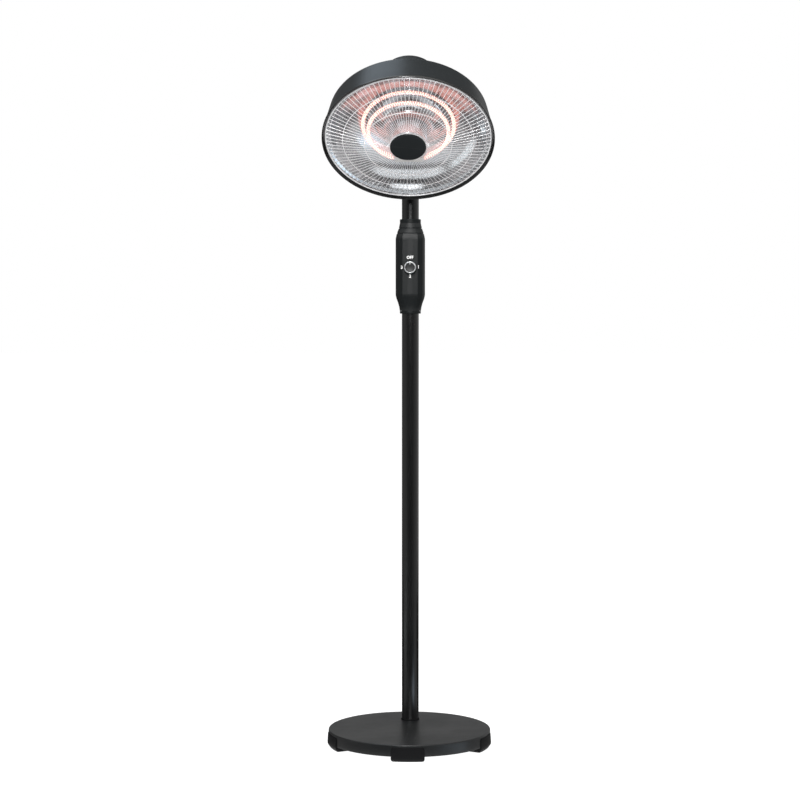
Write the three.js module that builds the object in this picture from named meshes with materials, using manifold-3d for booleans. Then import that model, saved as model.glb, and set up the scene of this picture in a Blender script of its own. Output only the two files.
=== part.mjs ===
// Free-standing infrared patio heater: a weighted round foot, a pole with a control box halfway
// up, and a round tilting head with two ring lamps behind a wire guard.
// Millimetres, +Z up, the heater faces -Y. The origin is on the ground, under the middle of the
// whole heater seen from above.

import * as THREE from 'three';
import { mergeVertices } from 'three/addons/utils/BufferGeometryUtils.js';
import Module from 'manifold-3d';

const wasm = await Module();
wasm.setup();

// ---------------------------------------------------------------- driving dimensions

const GAP = 0.3;                  // daylight left between two pieces that touch

// Foot of the stand
const BASE_TOP_R = 207;           // radius of the flat top
const BASE_SKIRT_R = 208.8;       // radius at the skirt's lower edge
const BASE_TOP_Z = 42.6;
const BASE_BOTTOM_Z = 13.5;       // lower edge of the skirt, which is also the feet's sole height
const BASE_SHEET = 1.6;
const BASE_FORWARD = 107;         // the foot's centre lies this far in front of the pole
const FEET = 5;
const FOOT_WIDTH = 84;
const FOOT_LIP = 1.9;

// Pole
const POLE_R = 22;
const POLE_WALL = 1.5;
const POLE_BOTTOM_Z = 26.3;
const GLAND_Z = 78;

// Control box
const BOX_BOTTOM_Z = 1105;
const BOX_TOP_Z = 1349;
const BOX_HALF_WIDTH = 37.9;
const BOX_HALF_DEPTH = 35.5;
const BOX_FACE_HALF = 20.6;       // half width of the flat front face
const BOX_WALL = 2.2;
const COLLAR_R = 27.2;
const COLLAR_TOP_H = 10;
const COLLAR_BOTTOM_H = 7;
const KNOB_Z = 1224;
const KNOB_R = 15.5;
const KNOB_DEPTH = 13;

// Tilt hinge
const HINGE_Z = 1468;
const HINGE_BOLT_R = 5;
const KNUCKLE_R = 17;
const KNUCKLE_HALF = 12.4;
const EAR = 6;
const WASHER = 1.8;
const HEAD_TILT = 40;             // degrees from facing straight down, as stored

// Head: r is measured from the head's axis, d backwards from the plane of the front rim
const HINGE_R = 245;              // the hinge in the head's own frame
const HINGE_D = 122.6;
const RIM_R = 212.8;
const COWL_REAR_R = 196.6;
const COWL_DEPTH = 80.4;
const COWL_SHEET = 1.2;
const NECK_R = 68;
const NECK_BOTTOM_D = 119.1;
const NECK_TOP_D = 214;
const HEAD_DEPTH = 230;

// Reflector, lamps and guard
const REFLECTOR_SHEET = 0.8;
const LAMP_OUTER_R = 112.7;
const LAMP_OUTER_D = 50;
const LAMP_INNER_R = 99;
const LAMP_INNER_D = 28;
const LAMP_TUBE_R = 5.5;
const LAMP_BORE_R = 4.4;
const LAMP_HALF_GAP = 22;         // half the arc, in degrees, that the lamp's base takes up
const LAMP_BLOCK = 13.6;
const FILAMENT_COIL_R = 2.1;
const FILAMENT_WIRE_R = 0.5;
const OUTER_CURLS = 10;
const INNER_CURLS = 9;
const CLIP_ANGLES = [38, 80, -38, -80];   // degrees from the head's front
const GUARD_WIRES = 40;
const GUARD_WIRE = 2;
const GUARD_R = 203.2;
const GUARD_RIM_D = 5;
const GUARD_CROWN_D = -23.5;      // the guard's dome, on the axis
const GUARD_RINGS = [44, 107.5, 161];
const GUARD_CAP_R = 44.6;
const HUB_R = 46;                 // the reflector's raised middle
const HUB_FRONT_D = -19.5;

// Flat sides that a round piece is made with
const SIDES_LARGE = 40;           // foot, cowl, reflector
const SIDES_MEDIUM = 24;          // neck, inner sheet pieces
const SIDES_TUBE = 20;            // pole, knob
const SIDES_SMALL = 10;           // bolts, holes

const deg = THREE.MathUtils.degToRad;

// ---------------------------------------------------------------- materials

const paint = (color, roughness, metalness) => new THREE.MeshStandardMaterial({ color, roughness, metalness });
const BLACK_COAT = paint(0x1f2122, 0.42, 0.2);
const COWL_COAT = paint(0x2b3033, 0.36, 0.25);
const BASE_COAT = paint(0x2d2e2f, 0.6, 0.1);
const BOX_PLASTIC = paint(0x232829, 0.5, 0.0);
const KNOB_PLASTIC = paint(0x18191a, 0.45, 0.0);
const RUBBER = paint(0x141414, 0.8, 0.0);
const CHROME = paint(0xd8dadd, 0.12, 1.0);
const ZINC = paint(0xa8abad, 0.35, 0.9);
const BRIGHT_ALUMINIUM = paint(0xdcdee0, 0.14, 1.0);
const SHEET_STEEL = paint(0x8e9294, 0.45, 0.9);
const CONCRETE = paint(0x8c8880, 0.95, 0.0);
const QUARTZ = paint(0xf6e6dc, 0.08, 0.0);
const GLOWING = paint(0xffc9a6, 0.5, 0.0);
const CERAMIC = paint(0xe8e2d6, 0.6, 0.0);
const NYLON = paint(0x303030, 0.6, 0.0);

// ---------------------------------------------------------------- shape tools

// Closed geometry to a solid: only positions are kept, with shared corners merged.
function toSolid(geometry) {
  const bare = geometry.clone();
  for (const name of Object.keys(bare.attributes)) if (name !== 'position') bare.deleteAttribute(name);
  const merged = mergeVertices(bare, 1e-4);
  return new wasm.Manifold(new wasm.Mesh({
    numProp: 3,
    vertProperties: new Float32Array(merged.attributes.position.array),
    triVerts: new Uint32Array(merged.index.array),
  }));
}

function toGeometry(solid) {
  const mesh = solid.getMesh();
  const geometry = new THREE.BufferGeometry();
  geometry.setAttribute('position', new THREE.BufferAttribute(new Float32Array(mesh.vertProperties), 3));
  geometry.setIndex(new THREE.BufferAttribute(new Uint32Array(mesh.triVerts), 1));
  geometry.computeVertexNormals();
  return geometry;
}

const join = (first, ...more) => toGeometry(more.reduce((sum, g) => sum.add(toSolid(g)), toSolid(first)));
const cut = (first, ...more) => toGeometry(more.reduce((left, g) => left.subtract(toSolid(g)), toSolid(first)));
const common = (first, second) => toGeometry(toSolid(first).intersect(toSolid(second)));

// Turns a profile of [radius, height] pairs round the Z axis. A profile that misses the axis is
// closed on itself. The order of its points doesn't matter.
function turned(profile, segments) {
  let area = 0;
  profile.forEach(([r, z], i) => {
    const [r2, z2] = profile[(i + 1) % profile.length];
    area += r * z2 - r2 * z;
  });
  const points = (area > 0 ? profile : [...profile].reverse()).map(([r, z]) => new THREE.Vector2(r, z));
  const onAxis = points.some((p) => p.x === 0);
  if (onAxis) while (points[0].x !== 0 || points[points.length - 1].x !== 0) points.push(points.shift());
  else points.push(points[0].clone());
  return new THREE.LatheGeometry(points, segments).rotateX(Math.PI / 2);
}

const ring = (inner, outer, z0, z1, segments) =>
  turned([[inner, z0], [outer, z0], [outer, z1], [inner, z1]], segments);
const rod = (r, z0, z1, segments = SIDES_SMALL) => turned([[0, z0], [r, z0], [r, z1], [0, z1]], segments);
const alongX = (geometry) => geometry.rotateY(Math.PI / 2);
const alongY = (geometry) => geometry.rotateX(-Math.PI / 2);
const block = (sx, sy, sz, x, y, z) => new THREE.BoxGeometry(sx, sy, sz).translate(x, y, z);

function roundedRect(width, height, radius) {
  const x = width / 2 - radius;
  const y = height / 2 - radius;
  const shape = new THREE.Shape();
  shape.absarc(x, y, radius, 0, Math.PI / 2);
  shape.absarc(-x, y, radius, Math.PI / 2, Math.PI);
  shape.absarc(-x, -y, radius, Math.PI, Math.PI * 1.5);
  shape.absarc(x, -y, radius, Math.PI * 1.5, Math.PI * 2);
  return shape;
}

const slab = (shape, depth, curveSegments = 3) =>
  new THREE.ExtrudeGeometry(shape, { depth, bevelEnabled: false, curveSegments }).translate(0, 0, -depth / 2);

// Skin over rings of points that all have the same count, with flat ends.
function loft(rings) {
  const count = rings[0].length;
  const positions = rings.flat().flatMap((p) => [p.x, p.y, p.z]);
  const middle = (points) => points.reduce((sum, p) => sum.add(p), new THREE.Vector3()).divideScalar(count);
  const first = middle(rings[0]);
  const last = middle(rings[rings.length - 1]);
  positions.push(first.x, first.y, first.z, last.x, last.y, last.z);
  const bottom = rings.length * count;
  const index = [];
  for (let i = 0; i < count; i++) {
    const j = (i + 1) % count;
    index.push(bottom, j, i);
    const top = (rings.length - 1) * count;
    index.push(bottom + 1, top + i, top + j);
    for (let k = 0; k < rings.length - 1; k++) {
      const a = k * count;
      const b = a + count;
      index.push(a + i, a + j, b + j, a + i, b + j, b + i);
    }
  }
  const geometry = new THREE.BufferGeometry();
  geometry.setAttribute('position', new THREE.Float32BufferAttribute(positions, 3));
  geometry.setIndex(index);
  return geometry;
}

function piece(name, geometry, material) {
  const mesh = new THREE.Mesh(geometry, material);
  mesh.name = name;
  return mesh;
}

const heater = new THREE.Group();
const stand = new THREE.Group();      // its origin is on the ground, under the pole
heater.add(stand);

// ---------------------------------------------------------------- foot of the stand

const base = new THREE.Group();
base.position.y = -BASE_FORWARD;
stand.add(base);

const skirtR = (z) => THREE.MathUtils.mapLinear(z, BASE_TOP_Z, BASE_BOTTOM_Z, BASE_TOP_R + 0.5, BASE_SKIRT_R);
const poleHole = (r, z0, z1) => rod(r, z0, z1, r > 10 ? SIDES_TUBE : SIDES_SMALL).translate(0, BASE_FORWARD, 0);

base.add(piece('base_cover', cut(turned([
  [0, BASE_TOP_Z],
  [BASE_TOP_R - 2, BASE_TOP_Z],
  [skirtR(BASE_TOP_Z - 2), BASE_TOP_Z - 2],
  [BASE_SKIRT_R, BASE_BOTTOM_Z],
  [BASE_SKIRT_R - BASE_SHEET, BASE_BOTTOM_Z],
  [skirtR(BASE_TOP_Z - 3.6) - BASE_SHEET, BASE_TOP_Z - 3.6],
  [BASE_TOP_R - 3.4, BASE_TOP_Z - BASE_SHEET],
  [0, BASE_TOP_Z - BASE_SHEET],
], SIDES_LARGE), poleHole(POLE_R + 0.4, 30, 50)), BASE_COAT));

const WEIGHT_BOTTOM_Z = 15.9;
base.add(piece('base_weight', cut(
  rod(199, WEIGHT_BOTTOM_Z, BASE_TOP_Z - BASE_SHEET - GAP, SIDES_MEDIUM),
  poleHole(POLE_R + 0.5, POLE_BOTTOM_Z - GAP, 50),
  poleHole(HINGE_BOLT_R + 0.5, 10, 50),
  poleHole(16, 10, 20),
), CONCRETE));

base.add(piece('base_plate', cut(
  rod(203, BASE_BOTTOM_Z + GAP, WEIGHT_BOTTOM_Z - GAP, SIDES_LARGE),
  poleHole(24, 10, 20),
), SHEET_STEEL));

// Each foot is a rubber pad under the skirt with a thin lip that wraps up its outside.
const padRing = turned([
  [170, 0],
  [BASE_SKIRT_R - 3.8, 0],
  [BASE_SKIRT_R + FOOT_LIP, 8],
  [BASE_SKIRT_R + FOOT_LIP, BASE_BOTTOM_Z],
  [skirtR(BASE_TOP_Z - 6) + FOOT_LIP, BASE_TOP_Z - 6],
  [skirtR(BASE_TOP_Z - 6) + GAP, BASE_TOP_Z - 6],
  [BASE_SKIRT_R + GAP, BASE_BOTTOM_Z - GAP],
  [170, BASE_BOTTOM_Z - GAP],
], 2 * SIDES_LARGE);
const padOutline = slab(roundedRect(FOOT_WIDTH, 2 * BASE_TOP_Z, 6), 60)
  .rotateX(Math.PI / 2).translate(0, -BASE_TOP_R + 8, BASE_TOP_Z);
const FOOT_NAMES = ['front', 'front_right', 'rear_right', 'rear_left', 'front_left'];
for (let i = 0; i < FEET; i++) {
  const foot = piece(`foot_${FOOT_NAMES[i]}`, common(padRing, padOutline), RUBBER);
  foot.rotation.z = (i * 2 * Math.PI) / FEET;
  base.add(foot);
}

// The pole stands in a pocket of the weight, and one bolt from below pulls it down.
stand.add(piece('pole_seal', ring(POLE_R + GAP, POLE_R + 2, BASE_TOP_Z + GAP, BASE_TOP_Z + 3.2, SIDES_TUBE), RUBBER));
stand.add(piece('pole_plug', ring(HINGE_BOLT_R + GAP, POLE_R - POLE_WALL - GAP, POLE_BOTTOM_Z + GAP, 62, SIDES_SMALL), ZINC));
stand.add(piece('pole_washer', ring(HINGE_BOLT_R + GAP, 15, 17.6, 20 - GAP, SIDES_SMALL), ZINC));
stand.add(piece('pole_bolt', join(
  rod(HINGE_BOLT_R, 16, 60),
  rod(9.2, 10.6, 17.3, 6),
), ZINC));

// ---------------------------------------------------------------- pole

const JOINT_BOTTOM_Z = 1158;      // the lower pole ends here, inside the control box
const JOINT_TOP_Z = 1296;         // and the upper pole starts here
const UPPER_TOP_Z = 1436;
const poleTube = (z0, z1) => ring(POLE_R - POLE_WALL, POLE_R, z0, z1, SIDES_TUBE);

stand.add(piece('lower_pole', cut(
  poleTube(POLE_BOTTOM_Z, JOINT_BOTTOM_Z),
  alongY(rod(6.4, 10, 40)).translate(0, 0, GLAND_Z),
), BLACK_COAT));
stand.add(piece('upper_pole', poleTube(JOINT_TOP_Z, UPPER_TOP_Z), BLACK_COAT));

// The mains lead would enter here, low at the back of the pole.
stand.add(piece('cable_gland', alongY(turned([
  [3.4, 18.5], [6, 18.5], [6, POLE_R + GAP], [8.6, POLE_R + GAP], [8.6, POLE_R + 6],
  [6.6, POLE_R + 7], [5.2, POLE_R + 14.2], [3.4, POLE_R + 14.2],
], SIDES_SMALL)).translate(0, 0, GLAND_Z), NYLON));

// A steel sleeve bridges the two poles. Its front is open between them, to make room for the switch.
stand.add(piece('pole_sleeve', cut(
  ring(POLE_R - POLE_WALL - GAP - 2, POLE_R - POLE_WALL - GAP, 1122, 1332, SIDES_TUBE),
  block(60, 30, JOINT_TOP_Z - JOINT_BOTTOM_Z - 8, 0, -17, (JOINT_TOP_Z + JOINT_BOTTOM_Z) / 2),
), ZINC));

// ---------------------------------------------------------------- control box

// Half outline of the box seen from above, from the middle of its front to the middle of its back.
const BOX_CORNERS = [
  [BOX_FACE_HALF, -BOX_HALF_DEPTH],
  [32.5, -26.5],
  [BOX_HALF_WIDTH, -13],
  [BOX_HALF_WIDTH, 13],
  [32.5, 26.5],
  [BOX_FACE_HALF, BOX_HALF_DEPTH],
];
const BOX_OUTLINE = [...BOX_CORNERS, ...BOX_CORNERS.map(([x, y]) => [-x, y]).reverse()];

// One level of the box: its outline blends into a circle as the box tapers towards the pole.
function boxRing(z, halfWidth, inset = 0) {
  const round = THREE.MathUtils.mapLinear(halfWidth, BOX_HALF_WIDTH, COLLAR_R, 0, 1);
  const points = [];
  BOX_OUTLINE.forEach(([x, y], i) => {
    const [x2, y2] = BOX_OUTLINE[(i + 1) % BOX_OUTLINE.length];
    for (const t of [0, 0.5]) {
      const p = new THREE.Vector2(x + (x2 - x) * t, y + (y2 - y) * t);
      const wide = p.clone().multiplyScalar(halfWidth / BOX_HALF_WIDTH);
      const circle = p.clone().setLength(halfWidth);
      wide.lerp(circle, round);
      wide.setLength(wide.length() - inset);
      points.push(new THREE.Vector3(wide.x, wide.y, z));
    }
  });
  return points;
}

const shellBottom = BOX_BOTTOM_Z + COLLAR_BOTTOM_H + GAP;
const shellTop = BOX_TOP_Z - COLLAR_TOP_H - GAP;
const BOX_LEVELS = [
  [shellBottom, 27.4], [1123, 29.1], [1133.5, 32.1], [1144, 36], [1154, BOX_HALF_WIDTH],
  [1298.5, BOX_HALF_WIDTH], [1311, 35.6], [1325.8, 30.4], [shellTop, 27.2],
];
const boxBody = loft(BOX_LEVELS.map(([z, w]) => boxRing(z, w)));
const boxHollow = loft([
  boxRing(shellBottom + 8, 28, BOX_WALL),
  boxRing(1154, BOX_HALF_WIDTH, BOX_WALL),
  boxRing(1298.5, BOX_HALF_WIDTH, BOX_WALL),
  boxRing(shellTop - 8, 28, BOX_WALL),
]);
const poleBore = rod(POLE_R + GAP, 1000, 1500, SIDES_TUBE);
const boxShell = cut(boxBody, boxHollow, poleBore);

const SCREW_X = 28.6;
const SCREW_ZS = [1172, 1282];
const screwSpots = SCREW_ZS.flatMap((z) => [[-SCREW_X, z], [SCREW_X, z]]);
const atScrews = (make) => screwSpots.map(([x, z]) => alongY(make()).translate(x, 0, z));
const half = (side) => block(200, 100, 500, 0, side * (50 + GAP / 2), 1230);

stand.add(piece('box_front', cut(
  join(common(boxShell, half(-1)), ...atScrews(() => rod(4, -28, -GAP / 2, 8))),
  ...atScrews(() => rod(1.9, -14, 5, 6)),
  alongY(rod(4.4, -60, -20)).translate(0, 0, KNOB_Z),
), BOX_PLASTIC));

stand.add(piece('box_rear', cut(
  join(common(boxShell, half(1)), ...atScrews(() => rod(4.6, GAP / 2, 27, 8))),
  ...atScrews(() => rod(1.9, -5, 60, 6)),
  ...atScrews(() => rod(3.6, 19, 60, 8)),
), BOX_PLASTIC));

const SCREW_NAMES = ['lower_left', 'lower_right', 'upper_left', 'upper_right'];
screwSpots.forEach(([x, z], i) => {
  const screw = join(rod(1.5, -12, 20, 6), rod(3.2, 19 + GAP, 21.6, 8));
  stand.add(piece(`box_screw_${SCREW_NAMES[i]}`, alongY(screw).translate(x, 0, z), ZINC));
});

const boxCollar = (z0, z1, soft) => turned([
  [POLE_R + GAP, z0], [COLLAR_R - soft[0], z0], [COLLAR_R, z0 + soft[0]],
  [COLLAR_R, z1 - soft[1]], [COLLAR_R - soft[1], z1], [POLE_R + GAP, z1],
], SIDES_TUBE);
stand.add(piece('box_collar_top', boxCollar(BOX_TOP_Z - COLLAR_TOP_H, BOX_TOP_Z, [0.2, 1]), BOX_PLASTIC));
stand.add(piece('box_collar_bottom', boxCollar(BOX_BOTTOM_Z, BOX_BOTTOM_Z + COLLAR_BOTTOM_H, [1, 0.2]), BOX_PLASTIC));

// Inside the box, against its front wall.
const wallY = -BOX_HALF_DEPTH + BOX_WALL + GAP;
stand.add(piece('switch_body', cut(
  join(
    block(27, 20, 30, 0, wallY + 10, KNOB_Z),
    alongY(rod(3.9, -38.6, wallY + 2)).translate(0, 0, KNOB_Z),
  ),
  alongY(rod(3, -50, -28)).translate(0, 0, KNOB_Z),
), NYLON));
stand.add(piece('switch_nut', alongY(cut(rod(7, -38, -BOX_HALF_DEPTH - GAP, 6), rod(4.2, -60, 0)))
  .translate(0, 0, KNOB_Z), ZINC));
stand.add(piece('terminal_block', cut(
  block(34, 13, 16, 0, wallY + 6.5, 1268),
  ...[-11, 0, 11].map((x) => alongY(rod(2.4, wallY + 6, 0, 8)).translate(x, 0, 1268)),
), CERAMIC));
stand.add(piece('tip_switch', join(
  block(24, 14, 20, 0, wallY + 7, 1182),
  rod(5, 1186, 1200, 12).translate(0, wallY + 7, 0),
), NYLON));

// Knob: it turns on the switch's shaft, round an axis along Y.
const knobTip = -BOX_HALF_DEPTH - GAP - 0.4 - KNOB_DEPTH;
const knobFoot = -BOX_HALF_DEPTH - GAP - 0.4;
const faceR = KNOB_R - 3.2;
stand.add(piece('control_knob', alongY(cut(
  turned([
    [0, knobTip + 0.6], [faceR - 3, knobTip + 0.6], [faceR - 0.4, knobTip + 1.2],
    [faceR - GAP, knobTip + 4.6], [KNOB_R - 0.6, knobTip + 4.6], [KNOB_R, knobFoot], [0, knobFoot],
  ], SIDES_TUBE),
  rod(8.4, -39, 0),
  rod(3, knobTip + 4, 0),
)).translate(0, 0, KNOB_Z), KNOB_PLASTIC));
stand.add(piece('knob_ring', alongY(join(
  turned([
    [faceR, knobTip + 0.8], [faceR + 0.8, knobTip], [KNOB_R - 1, knobTip], [KNOB_R, knobTip + 1.2],
    [KNOB_R, knobTip + 4.6 - GAP], [faceR, knobTip + 4.6 - GAP],
  ], SIDES_TUBE),
  block(1.6, 5.6, 0.9, 0, faceR - 2, knobTip + 0.45 - 0.3).rotateZ(Math.PI),
)).translate(0, 0, KNOB_Z), CHROME));
stand.add(piece('switch_shaft', alongY(rod(2.7, knobTip + 4 + GAP, -28.6)).translate(0, 0, KNOB_Z), ZINC));

// ---------------------------------------------------------------- tilt hinge

const earInner = KNUCKLE_HALF + 2 * GAP + WASHER;
const earOuter = earInner + EAR;
const hinge = new THREE.Group();      // its origin is on the hinge's axis
hinge.position.z = HINGE_Z;
stand.add(hinge);

// Fork on the pole's top: a plug in the tube, a collar on its end and two ears.
const earShape = new THREE.Shape();
earShape.moveTo(-17, UPPER_TOP_Z + 8 - HINGE_Z);
earShape.lineTo(17, UPPER_TOP_Z + 8 - HINGE_Z);
earShape.absarc(0, 0, KNUCKLE_R, 0, Math.PI);
const ear = (side) => slab(earShape, EAR, 12).rotateX(Math.PI / 2).rotateZ(Math.PI / 2)
  .translate((side * (earInner + earOuter)) / 2, 0, 0);
const collarZ = UPPER_TOP_Z + GAP - HINGE_Z;
hinge.add(piece('pole_fork', cut(
  join(
    turned([
      [0, collarZ - 34], [POLE_R - POLE_WALL - GAP, collarZ - 34], [POLE_R - POLE_WALL - GAP, collarZ],
      [POLE_R + 1.6, collarZ], [POLE_R + 1.6, collarZ + 6], [POLE_R - 0.4, collarZ + 9], [0, collarZ + 9],
    ], SIDES_TUBE),
    ear(1), ear(-1),
  ),
  alongX(rod(HINGE_BOLT_R + GAP, -40, 40)),
  rod(8, -80, 20),
), BLACK_COAT));

hinge.add(piece('washer_left', alongX(ring(HINGE_BOLT_R + GAP, 15, -earInner + GAP, -KNUCKLE_HALF - GAP, SIDES_SMALL)), NYLON));
hinge.add(piece('washer_right', alongX(ring(HINGE_BOLT_R + GAP, 15, KNUCKLE_HALF + GAP, earInner - GAP, SIDES_SMALL)), NYLON));
hinge.add(piece('hinge_bolt', alongX(join(
  rod(HINGE_BOLT_R, -earOuter - 2, earOuter + 19),
  rod(9.4, -earOuter - 7, -earOuter - GAP, 6),
)), ZINC));

// Hand knob that clamps the hinge: a hub with five rounded lobes.
const lobed = new THREE.Shape();
const LOBES = 5;
lobed.setFromPoints(Array.from({ length: LOBES * 6 }, (_, i) => {
  const angle = (i * 2 * Math.PI) / (LOBES * 6);
  const r = 18.5 + 2.8 * Math.cos(LOBES * angle);
  return new THREE.Vector2(r * Math.cos(angle), r * Math.sin(angle));
}));
hinge.add(piece('tilt_knob', alongX(cut(
  join(
    slab(lobed, 13).translate(0, 0, earOuter + 15.5),
    rod(11, earOuter + GAP, earOuter + 12),
  ),
  rod(HINGE_BOLT_R + GAP, 0, earOuter + 19 + GAP),
)), KNOB_PLASTIC));

// ---------------------------------------------------------------- head

// The head's own frame: the axis is Z, backwards, the plane of the rim is z = 0, and +Y points
// from the axis to the hinge. It turns about the hinge.
const tilt = new THREE.Group();
tilt.rotation.x = -deg(HEAD_TILT);
hinge.add(tilt);
const head = new THREE.Group();
head.position.set(0, -HINGE_R, -HINGE_D);
tilt.add(head);

// Spun cowl: a nearly straight wall, a rolled corner and a low roof, open in its middle.
head.add(piece('cowl', turned([
  [210.4, 7.3], [COWL_REAR_R + 0.6, 77.5], [COWL_REAR_R - 3, 82], [140, 100.4], [58, 118.8],
  [58, 117.5], [139.6, 99.1], [COWL_REAR_R - 3.8, 80.9], [COWL_REAR_R - 0.7, 77.2], [210.4 - COWL_SHEET, 7.3],
], SIDES_LARGE), COWL_COAT));

head.add(piece('front_ring', turned([
  [205.3, 4.4], [210.9, -0.6], [212.2, -0.6], [RIM_R, 0.4], [RIM_R, 5], [210.6, 7], [205.3, 7],
], SIDES_LARGE), BLACK_COAT));

// Vented neck behind the roof, with its rear cap.
const SLOTS = 12;
const slotCutters = Array.from({ length: SLOTS }, (_, i) =>
  block(5, 20, 16, 0, NECK_R, NECK_TOP_D - 16).rotateZ(((i + 0.5) * 2 * Math.PI) / SLOTS));
const ARM_SCREW_ANGLE = 17;       // degrees either side of the arm
const ARM_SCREW_D = 141;
const armScrewSpots = [-ARM_SCREW_ANGLE, ARM_SCREW_ANGLE];
const radial = (geometry, angle, d) => alongY(geometry).translate(0, 0, d).rotateZ(deg(angle));
head.add(piece('neck_housing', cut(
  turned([
    [NECK_R, NECK_BOTTOM_D], [NECK_R, NECK_TOP_D], [NECK_R - 1.5, NECK_TOP_D],
    [NECK_R - 1.5, NECK_BOTTOM_D + 1.5], [40, NECK_BOTTOM_D + 1.5], [40, NECK_BOTTOM_D],
  ], 2 * SLOTS),
  ...slotCutters,
  ...armScrewSpots.map((a) => radial(rod(2.3, 50, 80, 8), a, ARM_SCREW_D)),
), COWL_COAT));
head.add(piece('neck_cap', turned([
  [0, HEAD_DEPTH], [NECK_R - 1.8, HEAD_DEPTH - 0.2], [NECK_R, HEAD_DEPTH - 2], [NECK_R, NECK_TOP_D + GAP],
  [NECK_R - 1.6, NECK_TOP_D + GAP], [NECK_R - 1.6, HEAD_DEPTH - 2.6], [NECK_R - 2.4, HEAD_DEPTH - 1.8],
  [0, HEAD_DEPTH - 1.6],
], SIDES_MEDIUM), COWL_COAT));

// Arm from the hinge's knuckle to a saddle on the neck.
const armSide = new THREE.Shape();
armSide.moveTo(HINGE_R, HINGE_D - 13);
armSide.lineTo(HINGE_R, HINGE_D + 13);
armSide.lineTo(150, HINGE_D + 24);
armSide.lineTo(NECK_R + 2.5, HINGE_D + 33);
armSide.lineTo(NECK_R + 2.5, HINGE_D + 7);
armSide.lineTo(150, HINGE_D - 6);
const armBar = slab(armSide, 20, 4).rotateX(Math.PI / 2).rotateZ(Math.PI / 2);
const saddle = common(
  ring(NECK_R + GAP + 0.2, NECK_R + 4, NECK_BOTTOM_D + 3, HINGE_D + 37, SIDES_LARGE),
  slab(roundedRect(62, 36, 6), 60).rotateX(Math.PI / 2).translate(0, NECK_R, NECK_BOTTOM_D + 21),
);
head.add(piece('head_arm', cut(
  join(
    saddle, armBar,
    alongX(rod(KNUCKLE_R, -KNUCKLE_HALF, KNUCKLE_HALF, SIDES_TUBE)).translate(0, HINGE_R, HINGE_D),
  ),
  alongX(rod(HINGE_BOLT_R + GAP, -40, 40)).translate(0, HINGE_R, HINGE_D),
  ...armScrewSpots.map((a) => radial(rod(2.3, 50, 80, 8), a, ARM_SCREW_D)),
), BLACK_COAT));
armScrewSpots.forEach((angle, i) => {
  const screw = join(rod(2, 58, NECK_R + 6, 6), rod(4.2, NECK_R + 4 + GAP, NECK_R + 7, 8));
  head.add(piece(`arm_screw_${['left', 'right'][i]}`, radial(screw, -angle, ARM_SCREW_D), ZINC));
});

// Sheet pieces behind the lamps: heat shield, dish and the hub in the dish's middle.
head.add(piece('heat_shield', turned([
  [199, 14], [168, 52], [120, 74], [30, 81], [30, 81.8], [120.3, 74.8], [168.6, 52.7], [199.8, 14.4],
], SIDES_MEDIUM), SHEET_STEEL));

const dishFront = [[204.2, 8.6], [193, 11.6], [178, 30], [150, 49], [115, 61], [88, 66]];
head.add(piece('reflector_dish', turned([
  ...dishFront,
  [88, 66.9], [115.4, 61.9], [150.6, 49.8], [178.8, 30.6], [193.5, 12.4], [204.2, 9.5],
], SIDES_LARGE), BRIGHT_ALUMINIUM));

// The hub is a drawn cup whose foot flares out to the dish.
head.add(piece('reflector_hub', turned([
  [0, HUB_FRONT_D], [HUB_R - 1.4, HUB_FRONT_D], [HUB_R, HUB_FRONT_D + 1.5], [HUB_R, 36], [50, 48], [60, 57],
  [75, 63.5], [86, 67.2], [92, 67.2],
  [92, 68], [85.8, 68], [74.7, 64.3], [59.5, 57.7], [49.3, 48.5], [HUB_R - 0.8, 36.2],
  [HUB_R - 0.8, HUB_FRONT_D + 1.8], [HUB_R - 1.7, HUB_FRONT_D + 0.8], [0, HUB_FRONT_D + 0.8],
], SIDES_MEDIUM), BRIGHT_ALUMINIUM));

// ---------------------------------------------------------------- ring lamps

// The centre line of a ring lamp: an arc round the head's axis, open at the hinge's side.
class LampArc extends THREE.Curve {
  constructor(radius, d, halfGap) {
    super();
    Object.assign(this, { radius, d, halfGap });
  }
  getPoint(t, target = new THREE.Vector3()) {
    const angle = Math.PI / 2 + deg(this.halfGap) + t * (2 * Math.PI - 2 * deg(this.halfGap));
    return target.set(this.radius * Math.cos(angle), this.radius * Math.sin(angle), this.d);
  }
}

const circleShape = (r, sides) => new THREE.Shape(Array.from({ length: sides }, (_, i) =>
  new THREE.Vector2(r * Math.cos((i * 2 * Math.PI) / sides), r * Math.sin((i * 2 * Math.PI) / sides))));

function lampTube(radius, d) {
  const section = circleShape(LAMP_TUBE_R, 8);
  section.holes.push(new THREE.Path(circleShape(LAMP_BORE_R, 6).getPoints().reverse()));
  const extrudePath = new LampArc(radius, d, LAMP_HALF_GAP);
  return new THREE.ExtrudeGeometry(section, { steps: 26, extrudePath, bevelEnabled: false });
}

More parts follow.
